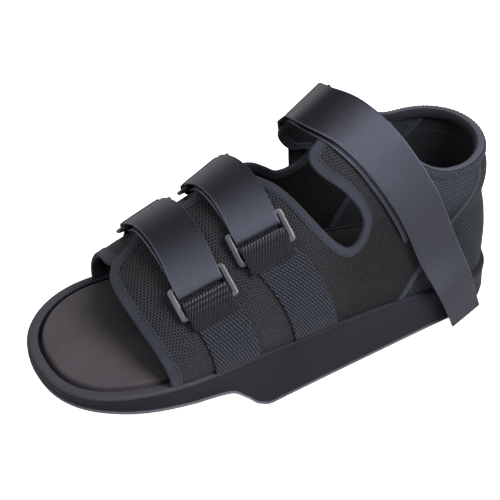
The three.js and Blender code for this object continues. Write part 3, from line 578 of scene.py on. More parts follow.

# %% [markdown]
# ## Changes along the shoe
# The toe rim has a painted highlight, the footbed a painted shade towards the heel, and the mesh a painted
# shade low on the quarter and a blue tint on the padded band. All of these depend on the place on the shoe
# alone. Weights painted on the mesh would do it too, but two smooth steps, one along the shoe and one up
# it, need no weights.

# %% Masks by place along the shoe and by height
place_fade, given, result = group(
    "place_fade", [("Place", "Vector"), ("Toe end", "Float"), ("Heel end", "Float"), ("Foot", "Float"),
                   ("Top", "Float")], ["Heelwards", "Upwards"])
spot = add(place_fade, "SeparateXYZ", {0: given.outputs["Place"]})
link(place_fade, result, {
    "Heelwards": ramp(place_fade, spot.outputs["X"], given.outputs["Toe end"], given.outputs["Heel end"]),
    "Upwards": ramp(place_fade, spot.outputs["Z"], given.outputs["Foot"], given.outputs["Top"])})
print("group", place_fade.name, "with", len(place_fade.nodes), "nodes")

# %% [markdown]
# ## Finishes
# Nearly everything on the shoe is a dark blue-grey, and only texture and sheen tell the pieces apart:
# matt moulded foam, suede on the footbed, open black mesh, smooth folded tape, satin straps and coarse
# webbing. Each finish mixes two close colours by a mask, and its bump gives the threads or pores their
# height.

# %% Finish helpers


def tint(code):
    """Linear colour from a screen colour such as 2e2f3a."""
    screen = [int(code[k:k + 2], 16) / 255 for k in (0, 2, 4)]
    return tuple((c / 12.92 if c <= 0.04045 else ((c + 0.055) / 1.055) ** 2.4) for c in screen) + (1.0,)


def finish(name, roughness, **sockets):
    """New material; returns it, its tree and its shader."""
    material = bpy.data.materials.new(name)
    material.use_nodes = True
    shader = material.node_tree.nodes["Principled BSDF"]
    shader.inputs["Roughness"].default_value = roughness
    for label, value in sockets.items():
        shader.inputs[label.replace("_", " ")].default_value = value
    return material, material.node_tree, shader


def threads_of(tree):
    """Place on the flat cut, in millimetres."""
    return add(tree, "UVMap", uv_map=THREADS).outputs["UV"]


def place_of(tree):
    """Place in the shoe's own frame, in metres."""
    return add(tree, "TexCoord").outputs["Object"]


def normal_of(tree):
    return add(tree, "NewGeometry").outputs["Normal"]


def blend(tree, mask, first, second):
    """Colour between two, by a mask."""
    node = add(tree, "Mix", data_type="RGBA")
    values = {"Factor_Float": mask, "A_Color": first, "B_Color": second}
    for k, socket in enumerate(node.inputs):
        if socket.identifier in values:
            link(tree, node, {k: values[socket.identifier]})
    return next(s for s in node.outputs if s.identifier == "Result_Color")


def raise_bump(tree, shader, height, strength, distance):
    """Bump in millimetres from a height of 0 to 1."""
    node = add(tree, "Bump", {"Height": height, "Strength": strength, "Distance": distance * MM})
    tree.links.new(node.outputs["Normal"], shader.inputs["Normal"])


print("mid grey is", round(tint("808080")[0], 3), "in linear colour")

# %% [markdown]
# ## Foam and rubber
# The sole is moulded in closed-cell foam with a fine skin of pores, and a thin layer of grey rubber is
# glued under it. Both are matt. The foam has a painted highlight on its upward rim, most of all round the
# open toe, so the mask of the highlight is multiplied by the place along the shoe.

# %% Foam of the sole and rubber of the tread


def moulded(name, dark, light, lit_top, roughness, pore, depth):
    """Matt moulded surface with fine pores, and a painted highlight where it faces up, most near the toe."""
    material, tree, shader = finish(name, roughness, Specular_IOR_Level=0.12)
    place = place_of(tree)
    effect = use(tree, fibres, {"Place": place, "Fineness": pore, "Patch": 18.0})
    patchy = calc(tree, "MULTIPLY", effect.outputs["Tone"], 0.65)
    mask = calc(tree, "MULTIPLY_ADD", effect.outputs["Fuzz"], 0.35, patchy)
    ground = blend(tree, mask, tint(dark), tint(light))
    # Painted highlight: what faces up near the toe is blended towards the lighter third colour.
    up = use(tree, facing_up, {"Normal": normal_of(tree), "Low": 0.1, "High": 0.95})
    fade = use(tree, place_fade, {"Place": place, "Toe end": -0.07, "Heel end": -0.02})
    at_toe = calc(tree, "MULTIPLY_ADD", fade.outputs["Heelwards"], -0.75, 1.0)
    painted_light_mask = calc(tree, "MULTIPLY", up.outputs["Mask"], at_toe)
    tree.links.new(blend(tree, painted_light_mask, ground, tint(lit_top)), shader.inputs["Base Color"])
    tree.links.new(ramp(tree, effect.outputs["Fuzz"], 0.0, 1.0, roughness - 0.08, roughness + 0.08),
                   shader.inputs["Roughness"])
    raise_bump(tree, shader, effect.outputs["Fuzz"], 0.5, depth)
    return material


foam = moulded("foam", "14151d", "1c1d26", "3f3c44", 0.6, 1400.0, 0.10)
tread = moulded("tread", "50515a", "64656e", "64656e", 0.72, 1100.0, 0.14)
print("finishes:", foam.name, tread.name)

# %% [markdown]
# ## Close cloths
# The footbed is brushed suede cloth, the edges are bound in smooth tape, and the collar has a padded lip
# and a dark lining. They differ in tone and in how coarse their fibres are, so one function makes them
# all. A little sheen stands for fibre ends that catch the light. The footbed has a dark reddish painted
# shade towards the heel, where the upper covers it.

# %% Suede, tape, padding, lining and sewing thread


def cloth_finish(name, dark, light, fineness, depth, sheen=0.06, heelward_shade=None):
    """Close cloth: fibres over two near tones, and a painted shade towards the heel."""
    material, tree, shader = finish(
        name, 0.8, Specular_IOR_Level=0.25, Sheen_Weight=sheen, Sheen_Roughness=0.45)
    place = place_of(tree)
    effect = use(tree, fibres, {"Place": place, "Fineness": fineness, "Patch": 34.0})
    patchy = calc(tree, "MULTIPLY", effect.outputs["Tone"], 0.5)
    mask = calc(tree, "MULTIPLY_ADD", effect.outputs["Fuzz"], 0.5, patchy)
    colour = blend(tree, mask, tint(dark), tint(light))
    if heelward_shade:
        # Painted shade: the footbed darkens towards the heel, where the upper covers it.
        fade = use(tree, place_fade, {"Place": place, "Toe end": -0.11, "Heel end": -0.02})
        colour = blend(tree, calc(tree, "MULTIPLY", fade.outputs["Heelwards"], 0.85), colour, tint(heelward_shade))
    tree.links.new(colour, shader.inputs["Base Color"])
    raise_bump(tree, shader, effect.outputs["Fuzz"], 0.6, depth)
    return material


suede = cloth_finish("suede", "3d393d", "514b50", 1900.0, 0.16, sheen=0.05, heelward_shade="1c1415")
tape = cloth_finish("tape", "262831", "343641", 2600.0, 0.08)
padding = cloth_finish("padding", "3a3c47", "4c4e5a", 2200.0, 0.12)
lining = cloth_finish("lining", "14161a", "22242a", 1300.0, 0.25)
thread = cloth_finish("thread", "0c0d10", "1d1e25", 3200.0, 0.05)
print("finishes:", suede.name, tape.name, padding.name, lining.name, thread.name)

# %% [markdown]
# ## Open mesh and heel knit
# The sides are black spacer mesh and the heel is a coarser knit. In both, dark openings lie between
# rounded ribs of yarn. The mesh also changes over the shoe: it has a painted shade low on the quarter, and
# is bluer on the padded band under the collar. These two tones are left out of the heel knit, which has
# neither.

# %% Side mesh and heel knit


def quarter_tones(tree, ground, painted_shade_tone, painted_shade_share, padded, padded_share):
    """Ground colour with a painted shade low on the quarter, and bluer on the padded band."""
    place = place_of(tree)
    low = use(tree, place_fade, {"Place": place, "Toe end": -0.005, "Heel end": 0.035,
                                 "Foot": 0.085, "Top": 0.125})
    # Painted shade: low on the quarter, towards the heel, the mesh is blended towards the hole colour.
    depth = calc(tree, "MULTIPLY_ADD", low.outputs["Upwards"], -painted_shade_share, painted_shade_share)
    ground = blend(tree, calc(tree, "MULTIPLY", low.outputs["Heelwards"], depth), ground, tint(painted_shade_tone))
    high = use(tree, place_fade, {"Place": place, "Toe end": 0.055, "Heel end": 0.08,
                                  "Foot": 0.07, "Top": 0.095})
    share = calc(tree, "MULTIPLY", high.outputs["Upwards"], padded_share)
    return blend(tree, calc(tree, "MULTIPLY", high.outputs["Heelwards"], share), ground, tint(padded))


def mesh_finish(name, wide, high, slant, dark, light, hole, depth, tones=None):
    """Spacer mesh: dark openings between rounded knitted ribs."""
    material, tree, shader = finish(name, 0.8, Specular_IOR_Level=0.25)
    place = threads_of(tree)
    effect = use(tree, holes, {"Place": place, "Wide": wide, "High": high, "Slant": slant})
    yarn = use(tree, fibres, {"Place": place, "Fineness": 3.2, "Patch": 0.06})
    ground = blend(tree, yarn.outputs["Fuzz"], tint(dark), tint(light))
    if tones:
        ground = quarter_tones(tree, ground, *tones)
    tree.links.new(blend(tree, effect.outputs["Hole"], ground, tint(hole)), shader.inputs["Base Color"])
    height = calc(tree, "MULTIPLY_ADD", yarn.outputs["Fuzz"], 0.12, effect.outputs["Round"])
    raise_bump(tree, shader, height, 0.9, depth)
    return material


# The hole colour is also the colour of the painted shade on the quarter.
HOLE_AND_SHADE, PADDED_BLUE = "050506", "4a5160"
side_mesh = mesh_finish("side_mesh", 1.6, 1.6, 0.15, "202226", "434549", HOLE_AND_SHADE, 0.7,
                        (HOLE_AND_SHADE, 0.7, PADDED_BLUE, 0.6))
heel_knit = mesh_finish("heel_knit", 2.3, 2.0, 0.0, "15181c", "343940", "040507", 0.6)
print("finishes:", side_mesh.name, heel_knit.name)

# %% [markdown]
# ## Woven straps
# The straps are loop fabric in a fine twill, with a slightly lighter woven edge. A painted shade makes
# them nearly black where they face up on top of the foot, and darker where they are steep or face down.
# The twill group gives both the colour and the bump, so that the two agree.

# %% Weave of the straps
STRAP_WIDTH, ANKLE_WIDTH = 26, 27
# Normal heights where the painted shade on top of each strap starts and is full, and its colour.
STRAP_SHADED_TOP, ANKLE_SHADED_TOP = (0.68, 1.0), (0.5, 0.86)
PAINTED_SHADE = "0b0b0e"


def band_finish(name, half, dark, light, selvage, shaded_top):
    """Woven band with a lighter line along both edges, and painted shade where it faces up and where it is
    steep.
    """
    material, tree, shader = finish(
        name, 0.6, Specular_IOR_Level=0.12, Sheen_Weight=0.04, Sheen_Roughness=0.35)
    place = threads_of(tree)
    weave = use(tree, twill, {"Place": place, "Rib": 0.8, "Pick": 1.0})
    yarn = use(tree, fibres, {"Place": place, "Fineness": 2.4, "Patch": 0.05})
    fuzzy = calc(tree, "MULTIPLY", yarn.outputs["Fuzz"], 0.5)
    mask = calc(tree, "MULTIPLY_ADD", weave.outputs["Rib height"], 0.4, fuzzy)
    ground = blend(tree, mask, tint(dark), tint(light))
    across = add(tree, "SeparateXYZ", {0: place}).outputs["Y"]
    edge = ramp(tree, calc(tree, "ABSOLUTE", across), half - 0.7, half - 0.4)
    edged = blend(tree, edge, ground, tint(selvage))
    # Painted shade: nearly black where the band faces up, darker where it is steep or faces down.
    normal = normal_of(tree)
    top = use(tree, facing_up, {"Normal": normal, "Low": shaded_top[0], "High": shaded_top[1]})
    side = use(tree, facing_up, {"Normal": normal, "Low": 0.05, "High": 0.45})
    below = calc(tree, "MULTIPLY_ADD", side.outputs["Mask"], -0.6, 0.6)
    painted_light_mask = calc(tree, "MAXIMUM", calc(tree, "MULTIPLY", top.outputs["Mask"], 0.88), below)
    tree.links.new(blend(tree, painted_light_mask, edged, tint(PAINTED_SHADE)), shader.inputs["Base Color"])
    height = calc(tree, "MULTIPLY_ADD", weave.outputs["Pick height"], 0.5, weave.outputs["Rib height"])
    raise_bump(tree, shader, height, 0.6, 0.12)
    return material


strap_weave = band_finish("strap_weave", STRAP_WIDTH / 2, "2c2e37", "585a67", "565863", STRAP_SHADED_TOP)
ankle_weave = band_finish("ankle_weave", ANKLE_WIDTH / 2, "2e303a", "5e606e", "5a5c67", ANKLE_SHADED_TOP)
print("finishes:", strap_weave.name, ankle_weave.name)

# %% [markdown]
# ## Ribbed webbing
# Coarse webbing shows rows of beads, where a thick yarn comes up, with dark gaps between. The rows run
# across the band, so the place on the cut is turned by a quarter before it goes into the group of holes.
# The back of the webbing, seen where it turns over a loop, has finer dark rows, with a painted highlight
# where the bend faces up.

# %% Face and back of the webbing
WEB_ROW = 3.0


def across_threads(tree):
    """Place on the cut with rows running across the band."""
    flat = add(tree, "SeparateXYZ", {0: threads_of(tree)})
    return add(tree, "CombineXYZ", {"X": flat.outputs["Y"], "Y": flat.outputs["X"]}).outputs[0]


webbing, tree, shader = finish("webbing", 0.7, Specular_IOR_Level=0.3)
place = across_threads(tree)
beads = use(tree, holes, {"Place": place, "Wide": 1.9, "High": WEB_ROW, "Slant": 0.5})
yarn = use(tree, fibres, {"Place": place, "Fineness": 2.6, "Patch": 0.05})
ground = blend(tree, yarn.outputs["Fuzz"], tint("14161f"), tint("232633"))
dotted = blend(tree, beads.outputs["Dot"], ground, tint("414456"))
tree.links.new(blend(tree, beads.outputs["Hole"], dotted, tint("040405")), shader.inputs["Base Color"])
raise_bump(tree, shader, beads.outputs["Round"], 0.9, 0.5)

web_back, tree, shader = finish("web_back", 0.75, Specular_IOR_Level=0.25)
rows_of = use(tree, holes, {"Place": across_threads(tree), "Wide": 1.7, "High": 1.5, "Slant": 0.4})
# Painted highlight: the rows of the back show light only where the bend faces up.
bend = use(tree, facing_up, {"Normal": normal_of(tree), "Low": 0.72, "High": 0.97})
bend_highlight = calc(tree, "MULTIPLY_ADD", bend.outputs["Mask"], 0.88, 0.12)
highlighted_rows = calc(tree, "MULTIPLY", rows_of.outputs["Round"], bend_highlight)
tree.links.new(blend(tree, highlighted_rows, tint("0a0b0d"), tint("63656f")), shader.inputs["Base Color"])
raise_bump(tree, shader, rows_of.outputs["Round"], 0.9, 0.4)
print("finishes:", webbing.name, web_back.name)

# %% [markdown]
# ## Moulded plastic
# The loops are injection-moulded satin grey plastic; on the far side they take a duller black copy of it,
# a painted shade for loops that face away from the lamps.
# Plastic is never quite even, so faint flow marks change its tone and fine marks change its gloss.

# %% Grey and black plastic


def plastic(name, dark, light, roughness, gloss):
    """Moulded plastic with faint flow marks and a soft gloss."""
    material, tree, shader = finish(name, roughness, Specular_IOR_Level=gloss)
    effect = use(tree, fibres, {"Place": place_of(tree), "Fineness": 500.0, "Patch": 45.0})
    tree.links.new(blend(tree, effect.outputs["Tone"], tint(dark), tint(light)), shader.inputs["Base Color"])
    tree.links.new(ramp(tree, effect.outputs["Fuzz"], 0.0, 1.0, roughness - 0.06, roughness + 0.1),
                   shader.inputs["Roughness"])
    raise_bump(tree, shader, effect.outputs["Fuzz"], 0.2, 0.01)
    return material


grey_plastic = plastic("grey_plastic", "3c3d42", "50515a", 0.3, 0.5)
# A darker, duller copy of the plastic, used as painted shade for the loops on the far side.
black_plastic = plastic("black_plastic", "08080a", "0e0e11", 0.55, 0.2)
print("finishes:", grey_plastic.name, black_plastic.name)

# %% [markdown]
# ## The sole
# The wedge is one moulded block of foam: rounded where the tread is glued on, a broad soft rim round the
# open toe, and a shallow tray for the footbed. It could be cut from a block with booleans, but a stack of
# rings that follow the outline gives every edge its own radius and keeps the mesh in even strips.

# %% Outline of the sole
RING_COUNT = 170
TOE_POINTS, WAIST_POINTS, HEEL_POINTS = 60, 80, 50
ahead = (BALL_X - TOE_X) * np.linspace(0, 1, TOE_POINTS) ** 2 + TOE_X
between = np.linspace(BALL_X, SEAT_X, WAIST_POINTS)[1:-1]
behind = HEEL_X - (HEEL_X - SEAT_X) * np.linspace(1, 0, HEEL_POINTS) ** 2
side_x = np.concatenate([ahead, between, behind])
near_side = evenly(np.stack([side_x, -sole_half(side_x)], axis=-1), RING_COUNT)
OUTLINE = np.vstack([near_side, near_side[-2:0:-1] * [1, -1]])
print("outline:", len(OUTLINE), "points")

# %% Rings that follow the outline


def sole_ring(inset, height):
    """The outline moved inwards, at the heights that a function of x gives."""
    along = np.roll(OUTLINE, -1, axis=0) - np.roll(OUTLINE, 1, axis=0)
    inward = unit(np.stack([-along[:, 1], along[:, 0]], axis=-1)) * inset
    return np.column_stack([OUTLINE + inward, height(OUTLINE[:, 0])])


def stack_rings(name, rings):
    """Closed solid from rings, capped by strips between opposite points."""
    count = len(OUTLINE)
    k = np.arange(count)
    faces = []
    for r in range(len(rings) - 1):
        a, b = r * count + k, r * count + (k + 1) % count
        faces += np.stack([a, b, b + count, a + count], axis=-1).tolist()
    half = count // 2
    bars = [[0, 1, count - 1]] + [[j, j + 1, count - j - 1, count - j] for j in range(1, half - 1)]
    bars.append([half - 1, half, half + 1])
    top = (len(rings) - 1) * count
    faces += [bar[::-1] for bar in bars] + [[j + top for j in bar] for bar in bars]
    points = np.vstack(rings)
    return new_piece(name, points, facing_out(points, faces))


def arc(start, end, count):
    """Angles of an arc, given in degrees."""
    return np.linspace(math.radians(start), math.radians(end), count)


def raised(base, by):
    """Height function moved up."""
    return lambda x: base(x) + by


print("one ring:", sole_ring(0, feather).shape)

# %% Foam sole
OUTSOLE_THICK = 2.2
FOOT_ROUND, WAIST_GROOVE = 1.2, 0.35
RIM_TOP_DROP, RIM_WIDTH, RIM_ROUND = 0.6, 6.2, 2.4
RIM_EDGE_WIDE, RIM_EDGE_DROP = 0.6, 0.25
TRAY_INSET, TRAY_DEPTH = 7.2, 5
TRAY_EDGE_WIDE, TRAY_EDGE_RISE = 0.5, 0.7

foam_bottom = raised(underside, OUTSOLE_THICK)
rim_top = raised(feather, -RIM_TOP_DROP)
tray_floor = raised(feather, -TRAY_DEPTH)


def wall(share):
    """Height function part of the way up the side of the sole."""
    return lambda x: lerp(foam_bottom(x) + FOOT_ROUND, rim_top(x) - RIM_ROUND, share)


rings = [sole_ring(FOOT_ROUND * (1 - math.sin(t)), raised(foam_bottom, FOOT_ROUND * (1 - math.cos(t))))
         for t in arc(0, 90, 5)]
rings += [sole_ring(WAIST_GROOVE * math.sin(share * math.pi), wall(share))
          for share in np.linspace(0.08, 0.92, 9)]
rings += [sole_ring(RIM_ROUND * (1 - math.cos(t)), raised(rim_top, -RIM_ROUND * (1 - math.sin(t))))
          for t in arc(0, 90, 7)]
rings += [sole_ring(RIM_WIDTH - RIM_EDGE_WIDE, rim_top), sole_ring(RIM_WIDTH, raised(rim_top, -RIM_EDGE_DROP)),
          sole_ring(TRAY_INSET - TRAY_EDGE_WIDE, raised(tray_floor, TRAY_EDGE_RISE)),
          sole_ring(TRAY_INSET, tray_floor)]
dress(stack_rings("foam_sole", rings), "sole", "foam", foam)
print("sole:", len(rings), "rings")

# %% [markdown]
# ## The tread
# A thin sheet of grey rubber is glued under the whole wedge, set back a little and rounded at its foot,
# so a pale line shows round the dark foam. The pattern underneath can't be seen and stays plain.

# %% Tread layer
LIP = 0.3
TREAD_ROUND_WIDE, TREAD_ROUND_HIGH = 0.9, 0.7
TREAD_EDGE = ((0.0, 0.4), (0.3, 0.1))
rings = [sole_ring(LIP + TREAD_ROUND_WIDE * (1 - math.sin(t)),
                   raised(underside, TREAD_ROUND_HIGH * (1 - math.cos(t)))) for t in arc(0, 90, 4)]
rings += [sole_ring(LIP + inset, raised(underside, OUTSOLE_THICK - below)) for inset, below in TREAD_EDGE]
dress(stack_rings("tread_layer", rings), "outsole", "tread", tread)
print("tread:", len(rings), "rings")

# %% [markdown]
# ## The footbed
# A brushed foam sheet lies loose in the tray, with a narrow groove round it and a soft rounded edge. It
# has a slight crown. Cloth simulation would hardly change a sheet that lies flat, so it is a stack of
# rings too.

# %% Footbed in its tray
GROOVE, INSOLE_GAP, INSOLE_THICK, INSOLE_ROUND = 1.3, 0.2, 5.8, 2.2
INSOLE_CROWN = ((3, 0.15), (7, 0.3))
insole_bottom = raised(tray_floor, INSOLE_GAP)
rings = [sole_ring(TRAY_INSET + GROOVE, insole_bottom)]
rings += [sole_ring(TRAY_INSET + GROOVE + INSOLE_ROUND * (1 - math.cos(t)),
                    raised(insole_bottom, INSOLE_THICK - INSOLE_ROUND * (1 - math.sin(t))))
          for t in arc(0, 90, 6)]
rings += [sole_ring(TRAY_INSET + GROOVE + INSOLE_ROUND + reach, raised(insole_bottom, INSOLE_THICK + lift))
          for reach, lift in INSOLE_CROWN]
insole = dress(stack_rings("suede_footbed", rings), "insole", "footbed", suede)
print("footbed:", len(rings), "rings")

# %% [markdown]
# ## The free edge of a panel
# Each side is one cut of spacer mesh: vamp flap, quarter and ankle flap, with a U cut out between them
# for the instep. The near flap laps over the far one on the ridge. The edge could be drawn in space, but
# as a curve on the last's chart, place along the shoe against rise round it, it lies on the foot by
# itself, and the far side is the near one with a few changes.

# %% Tables of the free edge, as x and rise
GIRTH_SCALE, EDGE_STEPS = 90, 10
NEAR = {"mirror": False, "lapped": True, "reach": 1.22, "front_back": 0, "corner_ahead": 0, "throat_back": 0,
        "flap_drop": 0, "flap_back": 0, "collar_x": 57}
FAR = {"mirror": True, "lapped": False, "reach": 0.98, "front_back": 6, "corner_ahead": 14, "throat_back": 7,
       "flap_drop": 0.17, "flap_back": 5, "collar_x": 63.5}
FRONT_EDGE = np.array([(-89, 0), (-92, 0.26), (-94, 0.48), (-95.5, 0.68)])
VAMP_TOP = np.array([(-95, 0.26), (-92.5, 0.11), (-87, 0.03), (-77, 0), (-62, 0), (-45, 0.03), (-30, 0.09),
                     (-20, 0.16), (-13, 0.24)])
THROAT_FRONT = np.array([(-6, 0.8), (-1, 0.66), (5, 0.515), (12, 0.392), (19, 0.31), (27, 0.262)])
THROAT_BACK = np.array([(33.5, 0.282), (36.5, 0.33), (34.5, 0.39), (30.5, 0.45), (25, 0.525), (18, 0.615)])
FLAP_END = np.array([(14, 0.7), (14, 0.79), (22, 0.84), (31, 0.855), (40, 0.85), (48, 0.81), (53, 0.745)])
print("table rows:", sum(len(rows) for rows in (FRONT_EDGE, VAMP_TOP, THROAT_FRONT, THROAT_BACK, FLAP_END)))

# %% Free edge of one side
SHORT_SHARE = 0.8


def free_edge(side):
    """Points along a panel's free edge, on the near side, and the indexes of its corners."""
    x, rise = FRONT_EDGE.T
    front = np.stack([x + side["front_back"] * smoothstep(rise, 0, 0.4), rise], axis=-1)
    x, below = VAMP_TOP.T
    x = np.where(x < BALL_X, x + side["front_back"], x - side["corner_ahead"] * smoothstep(x, -62, -20))
    top = np.stack([x, side["reach"] - below], axis=-1)
    x, rise = THROAT_FRONT.T
    short = SHORT_SHARE * (NEAR["reach"] - side["reach"])
    dip = np.stack([x - side["corner_ahead"] * (1 - smoothstep(x, -6, 20)),
                    rise - short * smoothstep(rise, 0.4, 0.8)], axis=-1)
    turn = (top[-1] + dip[0])[None] / 2
    x, rise = THROAT_BACK.T
    rear = np.stack([x + side["throat_back"], rise - side["flap_drop"] * smoothstep(rise, 0.28, 0.58)], axis=-1)
    x, rise = FLAP_END.T
    flap = np.stack([x + lerp(side["throat_back"], side["flap_back"], smoothstep(x, 14, 53)),
                     rise - side["flap_drop"]], axis=-1)
    rows = np.vstack([front, top, turn, dip, rear, flap])
    curve = smooth_path(rows * [1, GIRTH_SCALE], EDGE_STEPS)
    counts = np.cumsum([len(front), len(top), 1, len(dip), len(rear), len(flap)])
    corners = {"front_top": counts[0] + 2, "back_top": counts[0] + 7, "pit": counts[3] - 1,
               "tip": counts[4] + 1}
    return on_last(curve[:, 0], curve[:, 1] / GIRTH_SCALE), {k: v * EDGE_STEPS for k, v in corners.items()}


def edge_inside(p, inset):
    """The free edge moved into the panel along its surface."""
    along = np.vstack([p[1:], p[-1:]]) - np.vstack([p[:1], p[:-1]])
    return settle(p + unit(np.cross(along, outward(p))) * inset)


for name, side in (("near", NEAR), ("far", FAR)):
    print(name, "free edge:", round(float(lengths_along(free_edge(side)[0])[-1])), "mm")

# %% [markdown]
# ## Collar line and seam
# The top of the mesh goes up under the collar roll, and its back edge meets the heel counter in a curved
# seam. Under the roll the cloth is padded, which swells it outwards. Both lines are tables of the place
# along the shoe, because panels, counter, tapes and collar must all meet on them.

# %% Lines where the panels end
COLLAR_LOW_X, COLLAR_HIGH, COLLAR_CLEAR = 88, 8, 0.6
SEAM_ROUNDS = 40
collar_z = track([(54.5, 152), (57, 146.8), (63, 133), (69.5, 122.7), (79, 114), (87, 109.3), (95, 106.5),
                  (105, 105.5), (120, 106), (136, 107.5)])
seam_x = track([(20, 57), (33, 64), (53, 77), (66, 88), (75, 97), (84, 105), (94, 112.5), (106, 119)])


def collar_foot(x, cover=0.0):
    """Height of cloth just under the collar roll; cover takes it up under the roll."""
    slope = collar_z(x + 0.5) - collar_z(x - 0.5)
    return collar_z(x) - (COLLAR_HIGH / 2 + COLLAR_CLEAR - cover) * np.hypot(1, slope)


def seam_line(shares, shift, cover=0.0):
    """Places on the seam, by share of the way from sole to collar, moved along the shoe."""
    x = np.full(len(shares), float(SEAT_X))
    for _ in range(SEAM_ROUNDS):
        z = lerp(feather(x), collar_foot(x, cover), shares)
        x = lerp(x, seam_x(z) + shift, 0.5)
    return at_height(x, z)


seam_ends = seam_line(np.array([0.0, 1.0]), 0)
print("seam runs from x", round(float(seam_ends[0, 0])), "up to x", round(float(seam_ends[1, 0])), "mm")

# %% Lap and padding
LAP_LIFT, LAP_RISE, LAP_BACK = 3.1, (0.66, 0.9), (-36, -18)
PADDING_HIGH, PADDING_DEEP, PADDING_X = 2.6, 32, (66, 86)
SWELLS, FADES = (0, 0.35), (0.45, 1)


def lap(p, side):
    """Extra height of the near vamp flap where it lies on the far one."""
    if not side["lapped"]:
        return np.zeros(p.shape[:-1])
    return LAP_LIFT * smoothstep(rise_of(p), *LAP_RISE) * (1 - smoothstep(p[..., 0], *LAP_BACK))


def collar_padding(p):
    """Extra thickness of the padded band of cloth under the collar roll."""
    below = (collar_z(p[..., 0]) - p[..., 2]) / PADDING_DEEP
    swell = smoothstep(below, *SWELLS) * (1 - smoothstep(below, *FADES))
    return PADDING_HIGH * swell * smoothstep(p[..., 0], *PADDING_X)


print("most padding:", PADDING_HIGH, "mm, lap:", LAP_LIFT, "mm")

# %% [markdown]
# ## The side panels
# The mesh is one thin sheet with two faces. A flat grid could be cut and bent onto the foot, but the U
# cut-out would tear it. So the panel is filled in by blending its four sides, in three patches that are
# welded along their shared borders: the vamp, the quarter and the ankle flap.

# %% Patch helpers
GIRTH_STEPS = 24


def chart(points, count):
    """Even points along a line, as x and rise."""
    p = settle(evenly(points, count))
    return np.stack([p[:, 0], rise_of(p)], axis=-1)


def line(a, b, count):
    """Straight line on the chart."""
    return lerp(np.array(a)[None], np.array(b)[None], np.linspace(0, 1, count + 1)[:, None])


def patch(left, right, bottom, top):
    """Four sides of a patch blended in place and rise."""
    u = np.linspace(0, 1, len(bottom))[None, :, None]
    v = np.linspace(0, 1, len(left))[:, None, None]
    across = lerp(left[:, None], right[:, None], u)
    up = lerp(bottom[None], top[None], v)
    corners = lerp(lerp(bottom[0], bottom[-1], u), lerp(top[0], top[-1], u), v)
    return across + up - corners


def girth(x, rise):
    """Way up the last from the near sole, in millimetres."""
    steps = np.linspace(0, 1, GIRTH_STEPS + 1)
    line_up = np.stack([on_last(x, rise * s) for s in steps])
    return np.linalg.norm(np.diff(line_up, axis=0), axis=-1).sum(axis=0)


half_round = girth(np.array([float(BALL_X)]), np.array([1.0]))[0]
print("from the sole up to the ridge at the ball:", round(float(half_round)), "mm")

# %% The three patches of a panel
PANEL_ROWS, SLIT_ROWS, SEAM_ROWS = 56, 20, 28
VAMP_COLUMNS, FLAP_COLUMNS, COLLAR_COLUMNS = 44, 26, 14
UNDER_TAPE, UNDER_ROLL, SEAM_GAP, SLIT_X = 3, 3.0, 0.6, 30


def panel_charts(side):
    """Vamp, quarter and ankle flap of a panel, on the chart."""
    edge, corner = free_edge(side)
    inner = edge_inside(edge, UNDER_TAPE)
    cut = lambda a, b, count: chart(inner[a:b + 1], count)
    upper = PANEL_ROWS - SLIT_ROWS
    slit_foot = np.array([SLIT_X, 0.0])
    vamp_front = cut(0, corner["front_top"], PANEL_ROWS)
    vamp_front[0, 1] = 0
    vamp_top = cut(corner["front_top"], corner["back_top"], VAMP_COLUMNS)
    throat_front = cut(corner["back_top"], corner["pit"], upper)[::-1]
    slit = line(slit_foot, throat_front[0], SLIT_ROWS)
    throat_back = cut(corner["pit"], corner["tip"], upper)
    flap_top = cut(corner["tip"], len(inner) - 1, FLAP_COLUMNS)

    seam = seam_line(np.linspace(0, 1, SEAM_ROWS + 1), -SEAM_GAP, UNDER_ROLL)
    seam_side = np.stack([seam[:, 0], rise_of(seam)], axis=-1)
    seam_side[0, 1] = 0
    corner_spot = on_last(flap_top[-1, 0], flap_top[-1, 1])

    def under_roll(from_x, to_x):
        x = np.linspace(from_x, to_x, PANEL_ROWS)
        p = at_height(x, collar_foot(x, UNDER_ROLL))
        return p[p[:, 2] < corner_spot[2]]

    collar_low = chart(under_roll(COLLAR_LOW_X, seam[-1, 0]), COLLAR_COLUMNS)
    climb = np.vstack([under_roll(COLLAR_LOW_X, flap_top[-1, 0]), corner_spot])
    collar_climb = chart(climb, PANEL_ROWS - SEAM_ROWS)
    split = SEAM_ROWS - SLIT_ROWS
    waist = line(throat_back[split], collar_low[0], FLAP_COLUMNS)
    vamp_foot = line(vamp_front[0], slit_foot, VAMP_COLUMNS)
    quarter_foot = line(slit_foot, seam_side[0], FLAP_COLUMNS + COLLAR_COLUMNS)
    return [patch(vamp_front, np.vstack([slit, throat_front[1:]]), vamp_foot, vamp_top),
            patch(np.vstack([slit, throat_back[1:split + 1]]), seam_side, quarter_foot,
                  np.vstack([waist, collar_low[1:]])),
            patch(throat_back[split:], collar_climb, waist, flap_top)]


print("patches:", [places.shape[:2] for places in panel_charts(NEAR)])

# %% Panels of both sides
TUCK = 1.6


def panel_patches(side):
    """Patches with both faces; vamp and quarter are tucked in at the sole."""
    made = []
    for k, places in enumerate(panel_charts(side)):
        x, rise = places[..., 0], places[..., 1]
        p = on_last(x, rise)
        n = outward(p)
        threads = np.stack([x, girth(x, rise)], axis=-1)
        lift, padded = lap(p, side), collar_padding(p)
        if k < 2:
            foot = p[:1] - [0, 0, TUCK]
            p, n = np.concatenate([foot, p]), np.concatenate([n[:1], n])
            threads = np.concatenate([threads[:1] - [0, TUCK], threads])
            lift, padded = np.concatenate([lift[:1], lift]), np.concatenate([padded[:1], padded])
        if side["mirror"]:
            p, n = mirrored(p), mirrored(n)
        made.append(skin(p, n, lift, lift + CLOTH + padded, threads))
    return made


